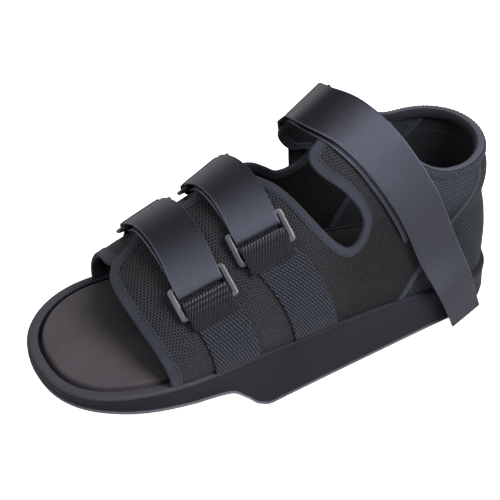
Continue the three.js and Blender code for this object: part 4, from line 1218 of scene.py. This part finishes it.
for name, side in (("near", NEAR), ("far", FAR)):
    panel = dress(closed_sheet(f"{name}_mesh_side", panel_patches(side)), f"{name}_panel", "mesh", side_mesh)
    print(panel.name, round(flat_area(panel) * 1e4), "cm2")

# %% [markdown]
# ## Folded tape
# Tape is folded over the raw edge of the mesh and sewn through. Its section is a flattened U: a round
# fold at the free edge, flat sides, a small groove under the stitches and a step down to the mesh. A
# bevel would round it evenly, so the half-thickness is worked out across the width instead.

# %% Tape section
TAPE_WIDTH, TAPE_CUT, TAPE_PROUD, TAPE_STEP = 8, 10, 0.5, 0.4
STITCH_SHARE, STITCH_GROOVE, GROOVE_WIDE = 0.8, 0.22, 0.035
FOLD_ROUND = 0.19
TAPE_SHARES = np.array([0, 0.012, 0.04, 0.09, 0.15, 0.22, 0.4, 0.6, 0.72, 0.76, 0.8, 0.84, 0.88, 0.95, 0.98, 1])
tape_width = track([(0, 6.4), (12, 6), (14.5, 5), (20, 5.2), (24, 6), (33, 6)])


def tape_half(share):
    """Half-thickness of the folded tape across its width."""
    full = CLOTH / 2 + TAPE_PROUD
    fold = np.sqrt(np.clip(1 - (1 - np.minimum(share / FOLD_ROUND, 1)) ** 2, 0.01, 1))
    groove = STITCH_GROOVE * np.exp(-((share - STITCH_SHARE) / GROOVE_WIDE) ** 2)
    step = TAPE_STEP * smoothstep(share, 0.95, 1)
    return full * fold - groove - step


print("tape section:", len(TAPE_SHARES), "points across, thickest", round(2 * float(tape_half(0.5)), 2), "mm")

# %% [markdown]
# ## Stitches
# A sewing machine leaves a row of short threads, each sunk into the cloth at both ends. Painted dashes
# would vanish in a close view and an array along a curve would twist, so every stitch is a little
# six-sided thread, set on its place by the path and the surface normal. One mesh holds a whole row.

# %% One stitch
STITCH_PITCH, STITCH_LONG, STITCH_RADIUS, STITCH_SINK = 2.7, 2.0, 0.3, 0.35
STITCH_SIDES = 6
STITCH_REACH = np.array([-1, -0.85, -0.45, 0, 0.45, 0.85, 1])
STITCH_FAT = np.array([0.25, 0.7, 0.98, 1, 0.98, 0.7, 0.25])
turn = np.arange(STITCH_SIDES) * math.pi * 2 / STITCH_SIDES
round_way = np.stack([np.zeros(STITCH_SIDES), np.cos(turn), np.sin(turn)], axis=-1)
STITCH = (STITCH_REACH[:, None, None] * np.array([1, 0, 0]) * STITCH_LONG / 2
          + STITCH_FAT[:, None, None] * STITCH_RADIUS * round_way[None]
          + (-STITCH_SINK * STITCH_REACH ** 4)[:, None, None] * np.array([0, 0, 1])).reshape(-1, 3)
k = np.arange(STITCH_SIDES)
STITCH_WALL = np.vstack([r * STITCH_SIDES + np.stack(
    [k, (k + 1) % STITCH_SIDES, STITCH_SIDES + (k + 1) % STITCH_SIDES, STITCH_SIDES + k], axis=-1)
    for r in range(len(STITCH_REACH) - 1)])
STITCH_CAPS = [k[::-1], k + STITCH_SIDES * (len(STITCH_REACH) - 1)]
print("one stitch:", len(STITCH), "points")

# %% A row of stitches


def stitches(name, path, normals, slot, material):
    """A row of sewn threads along a path, lying on the surface that the normals leave."""
    run = lengths_along(path)
    count = int(run[-1] // STITCH_PITCH)
    centres = (np.arange(count) + 0.5) * run[-1] / count
    at = lambda where, table: np.stack([np.interp(where, run, table[:, k]) for k in range(3)], axis=-1)
    c, n = at(centres, path), unit(at(centres, normals))
    a = unit(at(centres + 0.4, path) - at(centres - 0.4, path))
    b = np.cross(n, a)
    points = (c[:, None] + STITCH[None, :, :1] * a[:, None] + STITCH[None, :, 1:2] * b[:, None]
              + STITCH[None, :, 2:] * n[:, None]).reshape(-1, 3)
    faces = (STITCH_WALL[None] + (np.arange(count) * len(STITCH))[:, None, None]).reshape(-1, 4).tolist()
    faces += [(cap + s * len(STITCH)).tolist() for s in range(count) for cap in STITCH_CAPS]
    across = np.cross(points[STITCH_SIDES] - points[0], points[1] - points[0])
    if np.dot(across, points[0] - c[0]) > 0:
        faces = [f[::-1] for f in faces]
    print(name, count, "stitches")
    return dress(new_piece(name, points, faces), None, slot, material)


print("a stitch every", STITCH_PITCH, "mm")

# %% [markdown]
# ## Bindings
# One length of tape runs round the whole free edge of each panel, narrower in the tight turn of the
# throat. It is laid as rows at set shares of its width, each row moved into the panel along the surface,
# so the fold stays round in every turn. Stitches go through both faces.

# %% Bindings round both panels
STITCH_PROUD = 0.05
for name, side in (("near", NEAR), ("far", FAR)):
    edge = free_edge(side)[0]
    wide = tape_width(np.arange(len(edge)) / EDGE_STEPS)[:, None]
    rows = np.stack([edge_inside(edge, max(share, 0.001) * wide) for share in TAPE_SHARES])
    n = outward(rows)
    middle = CLOTH / 2 + lap(rows, side)
    half = tape_half(TAPE_SHARES)[:, None]
    if side["mirror"]:
        rows, n = mirrored(rows), mirrored(n)
    run = lengths_along(edge)
    threads = np.stack(np.broadcast_arrays(run[None], (TAPE_SHARES * TAPE_WIDTH)[:, None]), axis=-1)
    binding = dress(closed_sheet(f"{name}_edge_tape", [skin(rows, n, middle - half, middle + half, threads)]),
                    f"{name}_binding", "tape", tape)
    k = int(np.argmin(np.abs(TAPE_SHARES - STITCH_SHARE)))
    for face, sign in (("outer", 1), ("inner", -1)):
        level = middle[k] + sign * (half[k] + STITCH_PROUD)
        stitches(f"{name}_tape_stitches_{face}", rows[k] + n[k] * level[:, None], n[k] * sign, "tape", thread)

# %% [markdown]
# ## The heel counter
# The back of the shoe is a separate piece of coarser knit, stretched round the heel from seam to seam. A
# cylinder could be shrunk onto the last, but rows from sole to collar and columns that crowd towards the
# back keep the knit straight. The far half is the near half mirrored.

# %% Heel counter
HEEL_ROWS, HEEL_COLUMNS, HEEL_ROUNDS = 40, 46, 8
shares = np.linspace(0, 1, HEEL_ROWS + 1)
start_x = seam_line(shares, SEAM_GAP, UNDER_ROLL)[:, 0]
turns = np.sin(np.linspace(0, 1, HEEL_COLUMNS + 1) * math.pi / 2)
x = np.repeat(start_x[:, None], HEEL_COLUMNS + 1, axis=1)
for _ in range(HEEL_ROUNDS):
    z = lerp(feather(x), collar_foot(x, UNDER_ROLL), shares[:, None])
    x = lerp(start_x[:, None], heel_back(z), turns[None])
p = at_height(x, z)
p = np.concatenate([p[:1] - [0, 0, TUCK], p])
n = outward(np.concatenate([p[1:2], p[1:]]))
p, n = np.concatenate([p, mirrored(p[:, -2::-1])], axis=1), np.concatenate([n, mirrored(n[:, -2::-1])], axis=1)
across = np.stack([lengths_along(row) for row in p])
threads = np.stack([across - across[:, HEEL_COLUMNS:HEEL_COLUMNS + 1], p[..., 2]], axis=-1)
counter = closed_sheet("heel_counter_knit", [skin(p, n, 0, CLOTH + collar_padding(p), threads)])
dress(counter, "heel_counter", "heel_cloth", heel_knit, lining)
print("heel counter:", round(flat_area(counter) * 1e4), "cm2")

# %% [markdown]
# ## The seam tapes
# A narrow tape covers the seam between each panel and the counter. It is a little domed and gets narrower
# towards the collar. It follows the seam's own line, so it needs no fitting.

# %% Seam tapes
SEAM_HALF, SEAM_STEPS, SEAM_COLUMNS, SEAM_TOP = 2.6, 60, 11, 0.6
SEAM_EDGE, SEAM_DOME = 0.15, 0.75
for name, mirror in (("near", False), ("far", True)):
    shifts = np.linspace(-1, 1, SEAM_COLUMNS) * SEAM_HALF
    climb = np.linspace(0, 1, SEAM_STEPS + 1)
    taper = lerp(1, SEAM_TOP, smoothstep(climb, 0.25, 0.9))
    rows = np.stack([seam_line(climb, s * taper, UNDER_ROLL) for s in shifts])
    n = outward(rows)
    run = lengths_along(rows[SEAM_COLUMNS // 2])
    dome = np.sqrt(np.clip(1 - (shifts / SEAM_HALF) ** 4, 0, 1))[:, None]
    half = CLOTH / 2 + SEAM_EDGE + SEAM_DOME * dome
    if mirror:
        rows, n = mirrored(rows), mirrored(n)
    threads = np.stack(np.broadcast_arrays(run[None], shifts[:, None]), axis=-1)
    over = CLOTH / 2 + half + collar_padding(rows)
    seam = closed_sheet(f"{name}_seam_band", [skin(rows, n, CLOTH / 2 - half, over, threads)])
    dress(seam, f"{name}_seam_tape", "tape", tape)
    print(seam.name, round(float(run[-1])), "mm long")

# %% [markdown]
# ## The padded collar
# A soft roll runs round the ankle opening: mesh outside, a smooth padded lip on top and lining inside.
# Cloth simulation would swell it, but on a roll only eight millimetres thick a swept oval, with small
# puckers between the stitches, is cleaner and keeps to the edges of the cloth below.

# %% Spine of the collar
COLLAR_CLIMB, COLLAR_POINTS = 60, 230


def collar_half(front):
    """Line of the roll on the near side, from its front end to the back of the heel."""
    heel = heel_back(collar_z(float(HEEL_X)))
    climb = lerp(front, COLLAR_LOW_X, np.linspace(0, 1, COLLAR_CLIMB, endpoint=False) ** 1.3)
    round_x = lerp(COLLAR_LOW_X, heel, np.sin(np.linspace(0, 1, COLLAR_CLIMB) * math.pi / 2))
    x = np.concatenate([climb, round_x])
    return at_height(x, collar_z(x))


near_half = collar_half(NEAR["collar_x"])
far_half = mirrored(collar_half(FAR["collar_x"]))[::-1]
spine = evenly(np.vstack([near_half, far_half[1:]]), COLLAR_POINTS)
n = outward(spine)
up = unit(np.cross(n, unit(np.gradient(spine, axis=0))))
run = lengths_along(spine)
print("collar:", round(float(run[-1])), "mm long")

# %% Section of the collar
COLLAR_THICK, COLLAR_BACK, COLLAR_SIDES = 5.2, 7, 28
PUCKER, PUCKER_STEP, COLLAR_SEAM, SEAM_SPREAD = 0.18, 5.4, -0.88, 0.5
COLLAR_END = 3.5
angle = np.arange(COLLAR_SIDES) * 2 * math.pi / COLLAR_SIDES - math.pi
thick = lerp(COLLAR_THICK, COLLAR_BACK, smoothstep(spine[:, 0], 95, 135))[:, None]
drawn_in = np.sin(run * math.pi / PUCKER_STEP)[:, None] ** 2
pucker = 1 - PUCKER * drawn_in * np.exp(-((angle[None] - COLLAR_SEAM) / SEAM_SPREAD) ** 2)
from_end = np.minimum(np.minimum(run, run[-1] - run) / COLLAR_END, 1)
ends = np.sqrt(np.clip(1 - (1 - from_end) ** 2, 0.03, 1))[:, None]
out_by = thick / 2 * np.cos(angle)[None] * ends * pucker
up_by = COLLAR_HIGH / 2 * np.sin(angle)[None] * ends * pucker
rings = (spine + n * CLOTH / 2)[:, None] + n[:, None] * out_by[..., None] + up[:, None] * up_by[..., None]
print("collar rings:", rings.shape[:2])

# %% Collar roll
COLLAR_MESH, COLLAR_LINED = (-1.9, 0.75), 1.8
LIP_PART, MESH_PART, LINED_PART = 0, 1, 2
k = np.arange(COLLAR_SIDES)
faces = []
for r in range(len(rings) - 1):
    a, b = r * COLLAR_SIDES + k, r * COLLAR_SIDES + (k + 1) % COLLAR_SIDES
    faces += np.stack([a, b, b + COLLAR_SIDES, a + COLLAR_SIDES], axis=-1).tolist()
walls = list(faces)
faces += [k[::-1].tolist(), (k + (len(rings) - 1) * COLLAR_SIDES).tolist()]
points = rings.reshape(-1, 3)
if signed_volume(points, walls) < 0:
    faces = [f[::-1] for f in faces]
threads = np.stack(np.broadcast_arrays(run[:, None], angle[None] * COLLAR_HIGH / 2), axis=-1).reshape(-1, 2)
upper = np.where(angle < COLLAR_LINED, LIP_PART, LINED_PART)
section = np.where(angle < COLLAR_MESH[0], LINED_PART, np.where(angle < COLLAR_MESH[1], MESH_PART, upper))
collar = new_piece("collar_roll", points, faces, threads)
dress(collar, "collar", "padding", padding, side_mesh, lining)
parts = np.append(np.tile(section, len(rings) - 1), [LIP_PART, LIP_PART]).astype(np.int32)
collar.data.polygons.foreach_set("material_index", parts)
print("faces of lip, mesh and lining:", np.bincount(parts).tolist())

# %% [markdown]
# ## Sewing round the collar
# One row of stitches joins the mesh of the roll to its padded lip. A second row, seen inside the shoe,
# holds the lining down. Both use the same little threads as the tape.

# %% Stitches of the collar and the lining
LINING_DROP, LINING_POINTS, LINING_PROUD = 13, 160, 0.15
COLLAR_SPARE = 4
joint = COLLAR_MESH[1]
stitch_path = spine + n * CLOTH / 2 + n * thick / 2 * math.cos(joint) + up * (COLLAR_HIGH / 2 * math.sin(joint))
stitch_way = unit(n * math.cos(joint) + up * math.sin(joint))
stitches("collar_stitches", stitch_path[COLLAR_SPARE:-COLLAR_SPARE], stitch_way[COLLAR_SPARE:-COLLAR_SPARE],
         "padding", thread)

back_half = near_half[COLLAR_CLIMB:]
inside_half = at_height(back_half[:, 0], back_half[:, 2] - LINING_DROP)
inside_line = evenly(np.vstack([inside_half, mirrored(inside_half)[-2::-1]]), LINING_POINTS)
inwards = -outward(inside_line)
stitches("lining_stitches", inside_line + inwards * LINING_PROUD, inwards, "padding", tape)

# %% [markdown]
# ## The plastic loops
# Each strap turns round flat moulded loops. On the foot a loop stands off the panel, leans with the
# strap's pull and lies at a slant, so it gets a frame of its own: along its bars, towards the ridge and
# outwards. A torus could be flattened, but a ring between two rounded boxes gives bars and ends their
# true widths.

# %% Frame of a loop
LOOP_RADIUS, BAR, LOOP_HIGH = 2.4, 2.2, 19
FRONT = {"near": {"x": -60, "rise": 0.55, "up": 4, "down": 4, "turn": -12, "tilt": 0},
         "far": {"x": -59, "rise": 1.44, "up": 5, "down": 3.3, "turn": -9, "tilt": 3}}
MIDDLE = {"near": {"x": -23, "rise": 0.6, "up": 4, "down": 4, "turn": -14, "tilt": 0},
          "far": {"x": -24, "rise": 1.38, "up": 4.5, "down": 4.2, "turn": -10, "tilt": -1}}
ANKLE = {"x": 38, "rise": 1.4, "up": 2.8, "down": 5, "turn": 5, "tilt": -7}


def along_shoe(x, rise):
    """Direction towards the heel on the last."""
    return unit(on_last(x + 2, rise) - on_last(x - 2, rise))


def turned(v, axis, degrees):
    """Vector turned about a unit axis."""
    t = math.radians(degrees)
    return v * math.cos(t) + np.cross(axis, v) * math.sin(t) + axis * np.dot(axis, v) * (1 - math.cos(t))


def loop_frame(place):
    """Bar direction a, g towards the ridge, n outwards, the centre and both bars of a loop."""
    side = -1 if place["rise"] > 1 else 1
    p = on_last(place["x"], place["rise"])
    out = outward(p)
    a = turned(along_shoe(place["x"], place["rise"]), out, place["turn"] * side)
    a = unit(a - out * math.tan(math.radians(place["tilt"])))
    girth_way = unit(np.cross(out, a) * side)
    g = girth_way * LOOP_HIGH + out * (place["up"] - place["down"])
    g = unit(g - a * np.dot(g, a))
    centre = p + out * (CLOTH + (place["up"] + place["down"]) / 2)
    arm = (LOOP_HIGH - BAR) / 2
    return {"a": a, "g": g, "n": unit(np.cross(a, g) * side), "centre": centre,
            "high": centre + g * arm, "low": centre - g * arm}


print("ankle loop at", np.round(loop_frame(ANKLE)["centre"]).tolist())

# %% Loop maker
LOOP_END, LOOP_ROOM, LOOP_CORNER, LOOP_INSIDE = 3.2, 0.7, 2.0, 0.8
CORNER_STEPS, LOOP_SIDES, LOOP_SQUARE = 8, 20, 0.45


def rounded_box(half_x, half_y, radius, steps):
    """Corner-rounded rectangle as a loop of points."""
    out = []
    for k, (sx, sy) in enumerate(((1, -1), (1, 1), (-1, 1), (-1, -1))):
        t = np.linspace(-90, 0, steps) + 90 * k
        out.append(np.stack([sx * (half_x - radius) + radius * np.cos(np.radians(t)),
                             sy * (half_y - radius) + radius * np.sin(np.radians(t))], axis=-1))
    return np.vstack(out)


def squared(wave):
    """Wave made flatter at its ends, so that a round section gets nearly square."""
    return np.sign(wave) * np.abs(wave) ** LOOP_SQUARE


def loop_piece(name, place, band_width, end=LOOP_END, aside=0.0):
    """Flat loop: the ring between two rounded boxes, with soft edges all round."""
    at = loop_frame(place)
    half_x, half_y = band_width / 2 + LOOP_ROOM + end, LOOP_HIGH / 2
    outer = rounded_box(half_x, half_y, LOOP_CORNER, CORNER_STEPS)
    inner = rounded_box(half_x - end, half_y - BAR, LOOP_INSIDE, CORNER_STEPS)
    mid, reach = (outer + inner) / 2, (outer - inner) / 2
    turn = np.linspace(0, 2 * math.pi, LOOP_SIDES, endpoint=False)
    flat_points = mid[:, None] + reach[:, None] * squared(np.cos(turn))[None, :, None]
    heights = np.broadcast_to(squared(np.sin(turn)) * BAR / 2, flat_points.shape[:2])
    points = (at["centre"] - at["a"] * aside + flat_points[..., :1] * at["a"] + flat_points[..., 1:] * at["g"]
              + heights[..., None] * np.cross(at["a"], at["g"]))
    rows, cols = points.shape[:2]
    i, j = np.meshgrid(np.arange(rows), np.arange(cols), indexing="ij")
    i2, j2 = (i + 1) % rows, (j + 1) % cols
    corners = [i * cols + j, i2 * cols + j, i2 * cols + j2, i * cols + j2]
    faces = np.stack(corners, axis=-1).reshape(-1, 4).tolist()
    points = points.reshape(-1, 3)
    return new_piece(name, points, facing_out(points, faces))


print("loop section:", LOOP_SIDES, "points round")

# %% Five loops
ANKLE_LOOP_END, LOOP_ASIDE = 3.8, 0.6
# The far loops take the black plastic as a painted shade; the near ones take the satin grey.
LOOP_FINISH = {"near": ("grey_plastic", grey_plastic), "far": ("black_plastic", black_plastic)}
for strap, pair in (("front", FRONT), ("middle", MIDDLE)):
    for name, place in pair.items():
        loop = loop_piece(f"{strap}_loop_{name}", place, STRAP_WIDTH)
        dress(loop, f"{strap}_ring_{name}", *LOOP_FINISH[name])
loop = loop_piece("ankle_loop", ANKLE, ANKLE_WIDTH, ANKLE_LOOP_END, LOOP_ASIDE)
dress(loop, "ankle_ring", *LOOP_FINISH["far"])
print("loops are", LOOP_HIGH, "mm high, with bars of", BAR, "mm")

# %% [markdown]
# ## Bands
# Straps and webbing are flat bands with thin soft edges that follow a path and turn as it turns. A curve
# with a bevel would twist by itself, so each point of the path brings its own direction across the band.
# Where a band lies on the panel it hugs the last, and it never sinks below its least height.

# %% Smooth paths and half turns


def eased(points, rounds, closed):
    """Path with its small kinks smoothed out."""
    p = points.copy()
    for _ in range(rounds):
        if closed:
            p = (np.roll(p, 1, axis=0) + 2 * p + np.roll(p, -1, axis=0)) / 4
        else:
            p[1:-1] = (p[:-2] + 2 * p[1:-1] + p[2:]) / 4
    return p


def half_turn(bar, away, n, count, slack=0.0, loose=0.0):
    """Centres of a band's half turn round a bar, from under it to over it; slack and loose leave it room."""
    t = np.linspace(0, math.pi, count)[:, None]
    over = loose * (1 - np.cos(t)) / 2 - LOOP_RADIUS * np.cos(t)
    return bar + n * over + away * (LOOP_RADIUS + slack) * np.sin(t)


print("a half turn round a bar is", round(math.pi * LOOP_RADIUS, 1), "mm long")

# %% Band maker
BAND_SHARES = np.array([-1, -0.99, -0.965, -0.92, -0.8, -0.5, -0.2, 0.2, 0.5, 0.8, 0.92, 0.965, 0.99, 1])
BAND_EDGE = np.array([(0, 1), (0.92, 1), (0.965, 0.92), (0.99, 0.7), (1, 0.4)]).T


def hugged(p, n, laid, floor):
    """Points and normals of a band, on the last where laid is 1 and at least floor above it elsewhere."""
    hugging = settle(p)
    out = outward(hugging)
    weight, least = laid[:, None, None], floor[:, None, None]
    side = np.sign(np.sum(out * n, axis=-1, keepdims=True))
    height = np.sum((p - hugging) * out, axis=-1, keepdims=True)
    free = p + out * np.maximum(least - height, 0)
    return lerp(free, hugging + out * least, weight), unit(lerp(n, out * side, weight))


def band(name, centres, widths_way, width, thick, closed=False, relief=None, laid=None, floor=None):
    """Flat band along centres, with soft edges; relief adds height by run and share of the width."""
    if closed:
        before, after = np.roll(centres, 1, axis=0), np.roll(centres, -1, axis=0)
    else:
        before, after = np.vstack([centres[:1], centres[:-1]]), np.vstack([centres[1:], centres[-1:]])
    n = unit(np.cross(widths_way, after - before))
    run = lengths_along(centres)
    aside = np.broadcast_to(width, len(centres))[:, None] / 2 * BAND_SHARES[None]
    p = centres[:, None] + widths_way[:, None] * aside[..., None]
    n = np.broadcast_to(n[:, None], p.shape)
    if laid is not None:
        p, n = hugged(p, n, laid, floor)
    lift = np.broadcast_to(np.interp(np.abs(BAND_SHARES), *BAND_EDGE) * thick / 2, p.shape[:2])
    if relief is not None:
        lift = lift + relief(run[:, None], BAND_SHARES[None])
    threads = np.stack(np.broadcast_arrays(run[:, None], aside), axis=-1)
    patch_rows = skin(p, n, -lift, lift, threads)
    if closed:
        patch_rows = tuple(np.concatenate([grid, grid[:1]]) for grid in patch_rows)
    return closed_sheet(name, [patch_rows]), run[-1]


print("band:", len(BAND_SHARES), "points across")

# %% [markdown]
# ## The forefoot straps
# Each forefoot strap is a closed band wound round the upper bars of two loops and pulled tight over the
# foot. A simulated strap would sag, so the band follows a path: a bow below, a half turn, a bow above and
# a half turn back. The lower run lies a little aside, and the near turn has some slack, as in the
# photograph.

# %% Forefoot straps
STRAP_THICK, STRAP_SLACK, LOWER_ASIDE = 1.1, 4, 3
STRAP_CROWN = {"front": 14.5, "middle": 13}
STRAP_STEPS, TURN_STEPS, STRAP_POINTS, STRAP_EASE = 60, 16, 300, 6
t = np.linspace(0, 1, STRAP_STEPS)[1:-1, None]
bow = 4 * t * (1 - t) * np.array([0, 0, 1.0])
for strap, pair in (("front", FRONT), ("middle", MIDDLE)):
    near, far = loop_frame(pair["near"]), loop_frame(pair["far"])
    run_way = lerp(near["a"], far["a"], t)
    below = lerp(near["high"] - near["n"] * LOOP_RADIUS, far["high"] - far["n"] * LOOP_RADIUS, t)
    above = lerp(near["high"] + near["n"] * LOOP_RADIUS, far["high"] + far["n"] * LOOP_RADIUS, t)
    lower = below + bow * STRAP_CROWN[strap] - unit(run_way) * LOWER_ASIDE * np.sin(math.pi * t)
    upper = (above + bow * (STRAP_CROWN[strap] - LOOP_RADIUS))[::-1]
    far_turn = half_turn(far["high"], -far["g"], far["n"], TURN_STEPS)
    near_turn = half_turn(near["high"], -near["g"], near["n"], TURN_STEPS, STRAP_SLACK)[::-1]
    path = np.vstack([lower, far_turn, upper, near_turn])
    ways = np.vstack([run_way, np.repeat(far["a"][None], TURN_STEPS, 0), run_way[::-1],
                      np.repeat(near["a"][None], TURN_STEPS, 0)])
    joined = np.hstack([np.vstack([path, path[:1]]), np.vstack([ways, ways[:1]])])
    joined = eased(evenly(joined, STRAP_POINTS)[:-1], STRAP_EASE, True)
    piece, long = band(f"{strap}_strap_band", joined[:, :3], unit(joined[:, 3:]), STRAP_WIDTH,
                       STRAP_THICK, closed=True)
    dress(piece, f"{strap}_strap", "strap", strap_weave)
    print(strap, "strap:", round(long), "mm of band")

# %% [markdown]
# ## The ankle strap
# The ankle strap starts on the near quarter, goes over the instep to the black loop on the far side,
# turns round it and comes back on top of itself, down the near side to the floor. The upper run is a
# smooth path through a few places on the foot. The lower run is the same path let down, so the two lie
# together.

# %% Upper run of the ankle strap, as x, rise and height
ANKLE_RUN = np.array([(30, 1, 8.4), (38.5, 0.82, 8), (47.5, 0.64, 7.6), (57.5, 0.46, 7.4), (71, 0.27, 7.2),
                      (85, 0.105, 7)])
ANKLE_END = np.array([(97.5, -45.5, 35), (106, -43.5, 15), (112, -41.5, 1)])
ANKLE_LOOSE, ANKLE_TWIST, ANKLE_END_TURN = 0.8, 0.14, 18
ANKLE_STEPS, UNDER_STEPS, FINE, PATH_FINE = 26, 15, 6, 40

loop = loop_frame(ANKLE)
on_foot = on_last(ANKLE_RUN[:, 0], ANKLE_RUN[:, 1])
over = np.vstack([loop["high"] + loop["n"] * (LOOP_RADIUS + ANKLE_LOOSE),
                  on_foot + outward(on_foot) * ANKLE_RUN[:, 2:], ANKLE_END])
centres = evenly(smooth_path(over, PATH_FINE), ANKLE_STEPS * FINE)
k = (np.arange(len(centres)) / FINE)[:, None]
ways = unit(np.cross(outward(centres), np.gradient(centres, axis=0)))
fold_way = unit(loop["a"] + loop["n"] * ANKLE_TWIST)
ways = lerp(fold_way, ways, smoothstep(k, 1, 7))
on_floor = turned(np.array([1.0, 0, 0]), np.array([0, 0, 1.0]), ANKLE_END_TURN)
ways = unit(lerp(ways, on_floor, smoothstep(k, UNDER_STEPS, ANKLE_STEPS)))
print("upper run:", round(float(lengths_along(centres)[-1])), "mm")

# %% Lower run, turn and the whole ankle strap
UNDER_SHIFT, UNDER_DROP = 2.8, 2.8
ANKLE_SLACK, ANKLE_TURN, ANKLE_POINTS, ANKLE_EASE = 0.8, 18, 330, 8
below = slice(FINE, (UNDER_STEPS + 1) * FINE)
steps = k[below] - 1
drop = lerp(2 * LOOP_RADIUS + ANKLE_LOOSE, UNDER_DROP, smoothstep(steps, 0, 6))
lift = unit(lerp(loop["n"], outward(centres[below]), smoothstep(steps, 0, 4)))
under = centres[below] - lift * drop - ways[below] * UNDER_SHIFT * smoothstep(steps, 1, 6)
under_ways = unit(lerp(loop["a"], ways[below], smoothstep(steps, 0, 5)))
turn_points = half_turn(loop["high"], -loop["g"], loop["n"], ANKLE_TURN, ANKLE_SLACK, ANKLE_LOOSE)
turn_ways = unit(lerp(loop["a"], fold_way, np.linspace(0, 1, ANKLE_TURN)[:, None]))
path = np.vstack([under[::-1], turn_points, centres[FINE // 2:]])
path_ways = np.vstack([under_ways[::-1], turn_ways, ways[FINE // 2:]])
joined = evenly(np.hstack([path, path_ways]), ANKLE_POINTS)
centres = eased(joined[:, :3], ANKLE_EASE, False)
piece, long = band("ankle_strap_band", centres, unit(joined[:, 3:]), ANKLE_WIDTH, STRAP_THICK)
dress(piece, "ankle_strap", "strap", ankle_weave)
print("ankle strap:", round(long), "mm of band")

# %% [markdown]
# ## The webbing
# Short ribbed webbing, sewn in at the sole, holds the lower bar of each loop. It lies flat on the panel,
# climbs behind the bar, turns over it and is sewn down on itself. The ribs are real relief, one for each
# row of the finish, because they show at the edges where it turns.

# %% Path of a webbing
WEB_THICK, WEB_CLIMB, WEB_LAY = 1.4, 6, 7
WEB_REST = CLOTH + 0.4 + WEB_THICK / 2
WEB_LOOP = np.array([(-2, -2.8), (1, -2.5), (4, -1.7), (6.4, -0.3), (7.3, 1.3), (6.5, 2.6), (4, 2.7), (0, 2.3),
                     (-3, 1.3), (-5.6, -0.3), (-7.5, -1.4)])
FAR_SLACK, FAR_SNUG = 0.45, 0.8
RIB_HIGH, RIB_WORN = 0.35, 0.6
WEB_START, WEB_STEPS, WEB_FINE, WEB_POINTS, WEB_EASE = 0.01, 60, 8, 280, 4


def ribs(run, share):
    """Raised rows of coarse webbing."""
    return RIB_HIGH * (0.5 - np.cos(run * 2 * math.pi / WEB_ROW) / 2) * (1 - RIB_WORN * np.abs(share) ** 8)


def web(name, place, foot_place, width):
    """Webbing flat on the panel from the sole, up behind the lower bar and back down over it."""
    at = loop_frame(place)
    base, spread = foot_place
    foot = 2 if place["rise"] > 1 else 0
    bar_spot = settle(at["low"])
    steps = np.linspace(WEB_START, 1, WEB_STEPS)
    on_panel = on_last(lerp(base, bar_spot[0], steps), lerp(foot, rise_of(bar_spot), steps))
    run = lengths_along(on_panel)
    on_panel = on_panel[run < run[-1] - WEB_CLIMB]
    rest = on_panel + outward(on_panel) * WEB_REST
    along, out = WEB_LOOP.T[..., None]
    if foot:
        along, out = np.where(along > 0, along * FAR_SLACK, along), out * FAR_SNUG
    path = smooth_path(np.vstack([rest, at["low"] + along * at["g"] + out * at["n"]]), WEB_FINE)
    path = evenly(path, WEB_POINTS)
    share = np.clip(np.linspace(0, lengths_along(path)[-1] / run[-1], len(path)), 0, 1)[:, None]
    ways = unit(lerp(along_shoe(base, foot), at["a"], smoothstep(share, 0, 0.9)))
    flat_run = lengths_along(rest)[-1]
    laid = 1 - smoothstep(lengths_along(path), flat_run - WEB_LAY, flat_run)
    top = np.argmax((path - at["low"]) @ at["g"])
    floor = WEB_REST + WEB_THICK * (np.arange(len(path)) > top)
    wide = lerp(spread, width, share[:, 0])
    path = eased(path, WEB_EASE, False)
    return band(name, path, ways, wide, WEB_THICK, relief=ribs, laid=laid, floor=floor)


print("webbing turns over the bar in", len(WEB_LOOP), "places")

# %% Webbing from the sole to the loops
WEB_FEET = {"front_near": (-48.5, 29), "front_far": (-50, 34), "middle_near": (4, 29), "middle_far": (2, 29),
            "ankle": (55, 28)}
for strap, pair in (("front", FRONT), ("middle", MIDDLE)):
    for name, place in pair.items():
        foot_place = WEB_FEET[f"{strap}_{name}"]
        piece, long = web(f"{strap}_webbing_{name}", place, foot_place, STRAP_WIDTH)
        sides = (webbing, web_back) if name == "near" else (web_back, webbing)
        dress(piece, f"{strap}_web_{name}", "webbing", *sides)
        print(piece.name, round(long), "mm")
piece, long = web("ankle_webbing", ANKLE, WEB_FEET["ankle"], ANKLE_WIDTH)
dress(piece, "ankle_web", "webbing", web_back, webbing)
print(piece.name, round(long), "mm")
